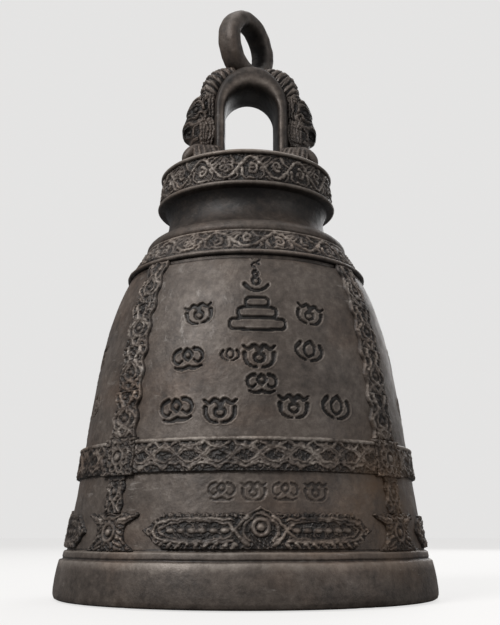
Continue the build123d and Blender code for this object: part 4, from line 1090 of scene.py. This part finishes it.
def mane(side):
    """Mane over the shoulder of the arch: a ridge carried along the crest, with one row of fat
    locks down each flank and a rope of smaller ones along the back."""
    rows, columns = 170, 150
    s = np.linspace(0, MANE_AT[-1], rows)
    crest, root = (
        np.stack([spline_at(MANE_AT, places, s) for places in line], -1)
        for line in (MANE_CREST, MANE_ROOT)
    )
    half = (8.6 * ease(s, -3.0, 3.0))[:, None]
    w = np.linspace(-1, 1, columns)
    rise = hump(np.abs(w) ** 3.0)
    ss, ww = np.repeat(s[:, None], columns, 1), np.repeat(w[None, :] * 11.0, rows, 0)
    locks = []
    for at in 0.9 + 3.55 * np.arange(8):
        for f in (-1, 1):
            locks += threads(
                (1.5, 1.2, (at - 0.7, f * 10.2), (at + 0.2, f * 8.0), (at + 1.6, f * 5.6)),
                (1.2, 0.9, (at + 0.9, f * 4.3), (at + 2.0, f * 2.6), (at + 3.4, f * 0.9)),
            )
    relief = carved(ss, ww, locks, ss + 60 * (side > 0), ww, 0.6, 0.5)
    high = crest - root
    out = high / np.hypot(*high.T)[:, None]
    lift = (relief - 1.15) * 1.05
    push = (lift * (0.30 + 0.70 * rise))[..., None]
    front = root[:, None] + high[:, None] * rise[:, None] + out[:, None] * push
    y = half * np.sign(w) * (1 - (1 - np.abs(w)) ** 1.15) + np.sign(w) * lift * (1 - rise) * 0.9
    back = np.repeat((root - out * 1.6)[:, None], MANE_BACK, 1)
    x, z = np.moveaxis(np.concatenate([front, back], 1), -1, 0)
    y = np.concatenate([y, half * np.linspace(0.8, -0.8, MANE_BACK)], 1)
    # Tone: paler on the locks and dark between them as painted shade.
    tone = np.concatenate([np.clip(0.5 * relief - 0.16, 0, 0.75), np.zeros((rows, MANE_BACK))], 1)
    points = np.stack([x * side + YOKE_OFFSET, y, z], -1)
    return capped_grid(f"dragon_mane_{SIDES[side]}_cast", points, tone)


FACE = (                    # heights, and how far out the face reaches there
    (186.6, 24.2), (188.2, 26.0), (190.6, 26.7), (191.5, 26.9), (192.2, 28.9), (194.0, 29.6),
    (197.2, 29.9), (198.8, 29.6), (200.4, 28.9), (202.4, 28.2), (203.2, 27.8), (204.4, 28.3),
    (206.2, 27.8), (208.2, 26.9), (210.0, 25.8), (210.9, 24.2), (212.6, 22.4),
)
HEAD_ROOT = 14.6            # where the head starts in the rib
EYE = (24.2, 204.4)
HEAD_HOLLOWS = (            # depth, then place and half-sizes of mouth, socket, under-eye and ear
    (2.6, ((27.3, 194.9), 1.9, 2.4)),
    (1.2, (EYE, 2.3, 1.9)),
    (1.0, ((26.0, 202.1), 3.0, 0.6)),
    (1.1, ((19.7, 206.0), 0.8, 2.8)),
)


def head_strokes():
    """Lines of the dragon's head on its flank, as (reach, height): upper lip, brow tuft, cheek
    curl, beard, neck hair, ear and chin. The lip comes first."""
    strokes = threads(
        (0.9, 0.75, (21.2, 198.2), (23.4, 197.4), (25.6, 198.0), (27.4, 199.0), (29.2, 198.6)),
        (0.95, 0.6, (22.6, 209.6), (24.4, 210.2), (26.0, 208.8), (27.3, 206.4), (28.0, 204.6)),
        (0.8, 0.5, (21.8, 207.4), (23.4, 208.0), (25.2, 207.2), (26.6, 205.4)),
        (0.65, 0.5, (23.4, 200.7), (25.4, 200.6), (27.4, 201.2)),
        (0.95, 0.4, (20.6, 204.6), (21.2, 207.0), (20.9, 209.4)),
        (0.85, 0.6, (23.6, 190.6), (25.6, 190.4), (26.2, 188.6), (24.8, 187.2)),
        (0.8, 0.6, (24.2, 196.4), (25.2, 194.2), (25.0, 191.8)),
        (0.7, 0.5, (25.4, 191.8), (27.0, 191.4), (28.4, 192.2)),
        (0.55, 0.45, (24.4, 201.8), (26.4, 202.4), (28.0, 202.0)),
    ) + curls((21.3, 200.9, 2.2, 10, 1.0, 0.85, 0.55, 0.28))
    for k in range(5):
        at = 16.2 + 1.4 * k
        strokes.append(
            thread(
                0.85, 0.6, (at + 0.9, 199.6 - 0.2 * k), (at - 0.1, 196.0), (at + 0.2, 192.0),
                (at + 1.3 - 0.4 * k, 188.0),
            )
        )
    for k in range(3):
        at = 16.4 + 1.5 * k
        strokes.append(thread(0.8, 0.55, (at, 210.6), (at + 0.4, 206.0), (at + 0.1, 201.4)))
    return strokes


def head(side):
    """Dragon's head: level sections stacked upwards. A section runs from the rib out to the face's
    line at its height and back, with half-depth T(x, z) that is full at the cheek, draws in to the
    snout, sinks at mouth, eye and ear, and carries the strokes as relief."""
    z = np.linspace(186.6, 212.4, 168)
    reach = along_table(z, FACE)
    smooth = np.convolve(np.pad(reach, 2, mode="edge"), np.ones(5) / 5, mode="valid")
    a = np.linspace(0, 1, 100)[None, :] ** 0.72
    x = HEAD_ROOT + (smooth[:, None] - HEAD_ROOT) * a
    z = z[:, None] + 0 * a
    full = 8.6 - 0.9 * ease(-z, -191.0, -186.6) + 0.3 * np.exp(-(((z - 204.5) / 3.0) ** 2))
    depth = full * (1 - (0.40 + 0.14 * ease(-z, -203.0, -198.0)) * ease(x, 20.5, 30.0))
    strokes = head_strokes()
    relief = highest(
        carved(x, z, fuller(strokes, 1.1), x + 40 * (side > 0), z, 0.45, 0.35),
        1.1 * hoop(x, z, *EYE, 1.75, 0.5),
        bead(x, z, *EYE, 1.3, 1.3),
        bead(x, z, 26.9, 195.2, 0.8, 1.2),
        bead(x, z, 27.6, 202.6, 0.9, 0.9),
    )
    sink = sum(deep * np.sqrt(oval(x, z, *place)) for deep, place in HEAD_HOLLOWS)
    sink = sink * (1 - np.clip(threads_height(x, z, strokes[:1]) * 2, 0, 1))
    depth = depth - 0.75 - sink + 1.1 * relief + 0.08 * unevenness(x, z, 2.2, 47)
    y = np.maximum(depth, 1.2) * np.sqrt(np.clip(1 - a**7, 0, 1))
    # Tone: paler on the raised lines, and dark between them and in the mouth, eye, under-eye and
    # ear hollows as painted shade.
    tone = np.clip(0.08 + 0.52 * relief - 0.5 * np.clip(sink, 0, 1), 0, 1)
    x, y, z, tone = (
        np.concatenate([flank * grid, grid[:, -2::-1]], 1)
        for grid, flank in ((x, 1), (y, -1), (z, 1), (tone, 1))
    )
    points = np.stack([x * side + YOKE_OFFSET, y, z], -1)
    return capped_grid(f"dragon_head_{SIDES[side]}_cast", points, tone)


# ---------------------------------------------------------------- finishes
RUBBED_SPOT = (-0.030, -0.046, 0.098)     # upper left of the front panel, pale with handling
RUST_SPOT = (0.046, -0.050, 0.036)        # foot of the front right strap, stained brown


def node(tree, kind, **inputs):
    """Adds a shader node and sets its unlinked inputs by name, a space written as _."""
    made = tree.nodes.new(kind)
    for name, value in inputs.items():
        made.inputs[name.replace("_", " ")].default_value = value
    return made


def feed(tree, value, socket):
    """Links a socket's value, or sets a number or a colour."""
    if hasattr(value, "is_linked"):
        tree.links.new(value, socket)
    else:
        socket.default_value = (*value, 1) if isinstance(value, tuple) else value


def ramp(tree, source, stops):
    """Colour ramp of (place, colour) stops fed by a socket."""
    made = tree.nodes.new("ShaderNodeValToRGB")
    elements = made.color_ramp.elements
    while len(elements) < len(stops):
        elements.new(0.5)
    for element, (place, colour) in zip(elements, stops):
        element.position = place
        element.color = (*colour, 1)
    tree.links.new(source, made.inputs["Fac"])
    return made.outputs["Color"]


def grey(value):
    """The colour with this much of red, green and blue."""
    return (value, value, value)


def shades(tree, source, *stops):
    """Grey ramp of (place, value) stops fed by a socket."""
    return ramp(tree, source, [(place, grey(value)) for place, value in stops])


def blend_colours(tree, share, first, second, mode="MIX"):
    """Mixes two colours, each a socket or a constant, by a share that is a socket or a number."""
    made = tree.nodes.new("ShaderNodeMix")
    made.data_type = "RGBA"
    made.blend_type = mode
    for k, value in ((0, share), (6, first), (7, second)):
        feed(tree, value, made.inputs[k])
    return made.outputs[2]


def scaled_and_added(tree, first, share, second):
    """first * share + second, of which the last is a socket or a number."""
    made = tree.nodes.new("ShaderNodeMath")
    made.operation = "MULTIPLY_ADD"
    for socket, value in zip(made.inputs, (first, share, second)):
        feed(tree, value, socket)
    return made.outputs[0]


def noise_at(tree, place, scale, detail, rough, stretch=None, turn=(0, 0, 0)):
    """Noise on the piece's own coordinates, stretched and turned where wanted."""
    if stretch is not None:
        mapping = node(tree, "ShaderNodeMapping", Scale=stretch, Rotation=turn)
        tree.links.new(place, mapping.inputs["Vector"])
        place = mapping.outputs["Vector"]
    made = node(tree, "ShaderNodeTexNoise", Scale=scale, Detail=detail, Roughness=rough)
    tree.links.new(place, made.inputs["Vector"])
    return made.outputs["Fac"]


def near(tree, place, spot, reach):
    """Share of nearness to a spot on the bell: 1 there, 0 at the reach and beyond."""
    away = tree.nodes.new("ShaderNodeVectorMath")
    away.operation = "DISTANCE"
    tree.links.new(place, away.inputs[0])
    away.inputs[1].default_value = spot
    share = node(tree, "ShaderNodeMapRange", From_Max=reach, To_Min=1.0, To_Max=0.0)
    tree.links.new(away.outputs["Value"], share.inputs["Value"])
    return share.outputs["Result"]


def new_finish(name, metal):
    """A material: itself, its node tree, its shader and the piece's own coordinates."""
    material = bpy.data.materials.new(name)
    material.use_nodes = True
    tree = material.node_tree
    shader = tree.nodes["Principled BSDF"]
    shader.inputs["Metallic"].default_value = metal
    return material, tree, shader, tree.nodes.new("ShaderNodeTexCoord").outputs["Object"]


def cover(tree, shader, colour, rough, grain, strength, distance):
    """Gives a shader its colour and roughness, and a grain that stands this far out."""
    bump = node(tree, "ShaderNodeBump", Strength=strength, Distance=distance)
    tree.links.new(grain, bump.inputs["Height"])
    tree.links.new(colour, shader.inputs["Base Color"])
    tree.links.new(rough, shader.inputs["Roughness"])
    tree.links.new(bump.outputs["Normal"], shader.inputs["Normal"])


BRONZE = [
    (0.0, (0.007, 0.005, 0.004)),
    (0.25, (0.032, 0.024, 0.019)),
    (0.50, (0.084, 0.066, 0.054)),
    (0.75, (0.158, 0.133, 0.113)),
    (1.0, (0.245, 0.212, 0.184)),
]


def patina():
    """Old dark bronze: near black where the pieces' tone paints shade in the recesses, grey-brown
    on the faces, paler where the tone paints highlight and wear on what stands proud, with brown
    stains, fine scratches and a cast grain. The pieces' tone, clouds and speckle together pick the
    colour."""
    material, tree, shader, place = new_finish("dark_bronze", 0.30)
    cloud = noise_at(tree, place, 55.0, 9.0, 0.74)
    speckle = noise_at(tree, place, 330.0, 7.0, 0.78)
    attribute = tree.nodes.new("ShaderNodeAttribute")
    attribute.attribute_name = "tone"
    depth = scaled_and_added(tree, cloud, 0.95, attribute.outputs["Fac"])
    depth = scaled_and_added(tree, speckle, 0.80, depth)
    base = ramp(tree, scaled_and_added(tree, depth, 1.0, -0.91), BRONZE)
    stain = noise_at(tree, place, 16.0, 5.0, 0.6, (1, 1, 1.6))
    stain = shades(tree, stain, (0.50, 0.0), (0.68, 0.55))
    base = blend_colours(tree, stain, base, (1.0, 0.72, 0.52), "MULTIPLY")
    scratch = noise_at(tree, place, 300.0, 5.0, 0.7, (0.35, 0.35, 1.4), (0.0, 0.6, 0.0))
    scratch = shades(tree, scratch, (0.60, 0.0), (0.72, 0.55))
    gate = shades(tree, noise_at(tree, place, 30.0, 3.0, 0.5), (0.52, 0.0), (0.62, 1.0))
    scratch = blend_colours(tree, 1.0, scratch, gate, "MULTIPLY")
    base = blend_colours(tree, scratch, base, (0.34, 0.31, 0.28))
    hair = noise_at(tree, place, 190.0, 8.0, 0.80, (1.0, 1.0, 0.45), (0.3, 0.9, 0.5))
    hair = shades(tree, hair, (0.56, 0.0), (0.66, 0.8))
    hair = blend_colours(tree, 1.0, hair, near(tree, place, RUBBED_SPOT, 0.040), "MULTIPLY")
    base = blend_colours(tree, hair, base, (0.30, 0.275, 0.25))
    rust = shades(tree, cloud, (0.40, 0.15), (0.60, 1.0))
    rust = blend_colours(tree, 1.0, near(tree, place, RUST_SPOT, 0.034), rust, "MULTIPLY")
    base = blend_colours(tree, rust, base, (0.105, 0.060, 0.030))
    rough = shades(tree, noise_at(tree, place, 120.0, 5.0, 0.6), (0.3, 0.46), (0.7, 0.66))
    cover(tree, shader, base, rough, noise_at(tree, place, 700.0, 5.0, 0.65), 0.45, 0.0004)
    return material


IRON = [
    (0.35, (0.035, 0.032, 0.031)),
    (0.55, (0.075, 0.068, 0.064)),
    (0.75, (0.140, 0.075, 0.042)),
]


def old_iron():
    """Forged iron: dark scale with rust in its hollows and a hammered surface."""
    material, tree, shader, place = new_finish("old_iron", 0.5)
    scale = ramp(tree, noise_at(tree, place, 90.0, 6.0, 0.65), IRON)
    rough = shades(tree, noise_at(tree, place, 200.0, 4.0, 0.6), (0.3, 0.5), (0.7, 0.75))
    hammered = noise_at(tree, place, 140.0, 4.0, 0.6)
    cover(tree, shader, scale, rough, hammered, 0.5, 0.0006)
    return material


def either_of(tree, share, first, second, output):
    """Links the mix of two shaders by a share to an output node."""
    made = tree.nodes.new("ShaderNodeMixShader")
    for socket, value in zip(made.inputs, (share, first.outputs[0], second.outputs[0])):
        tree.links.new(value, socket)
    tree.links.new(made.outputs[0], tree.nodes[output].inputs["Surface"])


# ---------------------------------------------------------------- studio, in metres
MIDDLE = Vector((0, 0, 0.13))       # of the bell, where the lamps look
FLOOR_HOLE_R, FLOOR_R, FLOOR_Z = 0.066, 12.0, -0.0004
CAMERA_PLACE = (-0.0273, -0.3813, 0.0231)
CAMERA_TILT, CAMERA_TURN = 13.5517, -4.343      # degrees up from level, and about Z
CAMERA_LENS, CAMERA_SENSOR = 53.485, 36.0       # millimetres
LAMPS = {                           # place, size and watts
    "key_lamp": ((-0.65, -0.65, 0.80), 0.40, 12.0),
    "fill_lamp": ((0.9, -0.7, 0.45), 0.6, 3.0),
    "top_lamp": ((0.1, 0.2, 1.3), 0.9, 5.0),
    "back_lamp": ((0.6, 1.1, 0.7), 0.8, 7.0),
}


def pale_floor():
    """Wide level floor of pale matt paper that takes the bell's shadow. To the camera alone it
    also glows, so that it meets the air behind without an edge. It is a ring, open under the
    bell's mouth, and clear from below, so that the bore can be seen there."""
    count = 96
    t = np.linspace(0, 2 * pi, count, endpoint=False)
    r, t, z = np.broadcast_arrays(np.array([[FLOOR_HOLE_R], [FLOOR_R]]), t, FLOOR_Z)
    points = round_about(r, t, z).reshape(-1, 3)
    mesh = bpy.data.meshes.new("studio_floor")
    mesh.from_pydata(points.tolist(), [], grid_faces(2, count, False, True)[:, ::-1].tolist())
    piece = bpy.data.objects.new("studio_floor", mesh)
    bpy.context.scene.collection.objects.link(piece)
    paper = bpy.data.materials.new("studio_paper")
    paper.use_nodes = True
    tree = paper.node_tree
    shader = tree.nodes["Principled BSDF"]
    shader.inputs["Base Color"].default_value = (0.16, 0.157, 0.154, 1)
    shader.inputs["Roughness"].default_value = 0.95
    shader.inputs["Emission Color"].default_value = (1.0, 0.99, 0.98, 1)
    seen = tree.nodes.new("ShaderNodeLightPath").outputs["Is Camera Ray"]
    glow = scaled_and_added(tree, seen, 0.70, 0.0)
    tree.links.new(glow, shader.inputs["Emission Strength"])
    below = tree.nodes.new("ShaderNodeNewGeometry").outputs["Backfacing"]
    either_of(tree, below, shader, tree.nodes.new("ShaderNodeBsdfTransparent"), "Material Output")
    mesh.materials.append(paper)


def area_light(name, place, size, watts):
    """Square lamp at a place that looks at the middle of the bell, itself unseen."""
    data = bpy.data.lights.new(name, "AREA")
    data.size, data.energy = size, watts
    lamp = bpy.data.objects.new(name, data)
    lamp.location = place
    lamp.rotation_euler = (MIDDLE - Vector(place)).to_track_quat("-Z", "Y").to_euler()
    lamp.visible_camera = False
    bpy.context.scene.collection.objects.link(lamp)


def studio():
    """Camera at the bell's foot, tilted up, a large soft key at the upper left, weak fills at the
    right, above and behind, and a grey world that the camera sees paler."""
    data = bpy.data.cameras.new("camera")
    data.lens = CAMERA_LENS
    data.sensor_width = CAMERA_SENSOR
    data.clip_start = 0.01
    camera = bpy.data.objects.new("camera", data)
    camera.location = CAMERA_PLACE
    camera.rotation_euler = (radians(90 + CAMERA_TILT), 0, radians(CAMERA_TURN))
    bpy.context.scene.collection.objects.link(camera)
    bpy.context.scene.camera = camera
    for name, (place, size, watts) in LAMPS.items():
        area_light(name, place, size, watts)
    world = bpy.data.worlds.new("studio_air")
    bpy.context.scene.world = world
    world.use_nodes = True
    tree = world.node_tree
    air = tree.nodes["Background"]
    air.inputs["Color"].default_value = (0.85, 0.86, 0.88, 1)
    air.inputs["Strength"].default_value = 0.30
    seen_air = node(tree, "ShaderNodeBackground", Color=(0.78, 0.775, 0.77, 1), Strength=1.0)
    seen = tree.nodes.new("ShaderNodeLightPath").outputs["Is Camera Ray"]
    either_of(tree, seen, air, seen_air, "World Output")
    bpy.context.scene.view_settings.view_transform = "Standard"


# ---------------------------------------------------------------- everything in its place
def dress(piece, material, *nodes):
    """Gives a piece its finish, hangs it on the bell and lets it stand for its CAD nodes."""
    piece.data.materials.append(material)
    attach(piece, "bell")
    if nodes:
        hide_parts(*nodes)


def spacing_at(place):
    """Millimetres between the points of a relief: closer on the front, which is seen nearest."""
    return FRONT_SPACING if place.startswith("front") else SPACING


def make_bell():
    """Makes every bronze piece and puts it in its CAD nodes' place."""
    bronze = patina()
    dress(bell_wall(), bronze, "bell_shell")
    for name in PANELS:
        dress(panel(name), bronze)
        for make in (waist_band, cartouche):
            dress(make(name, spacing_at(name)), bronze, f"{make.__name__}_{name}")
    for corner in CORNERS:
        for make in (upper_strap, lower_strap, crossing_boss, finial):
            dress(make(corner, spacing_at(corner)), bronze, f"{make.__name__}_{corner}")
    for make in (shoulder_band, crown_band, crown_cap):
        dress(make(), bronze, make.__name__)
    dress(arch(), bronze, "yoke_arch")
    dress(ring(), bronze, "hanging_ring")
    for side, word in SIDES.items():
        dress(foot(side), bronze, "yoke_foot_" + word)
        for toe in toes(side):
            dress(toe, bronze)
        dress(mane(side), bronze, "dragon_mane_" + word)
        dress(head(side), bronze, "dragon_head_" + word)


def finish_clapper():
    """Gives the clapper's own CAD nodes their iron."""
    iron = old_iron()
    for name in ("clapper_staple", "clapper_link", "clapper_stem", "clapper_ball"):
        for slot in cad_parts[name].material_slots:
            slot.material = iron


make_bell()
finish_clapper()
pale_floor()
studio()
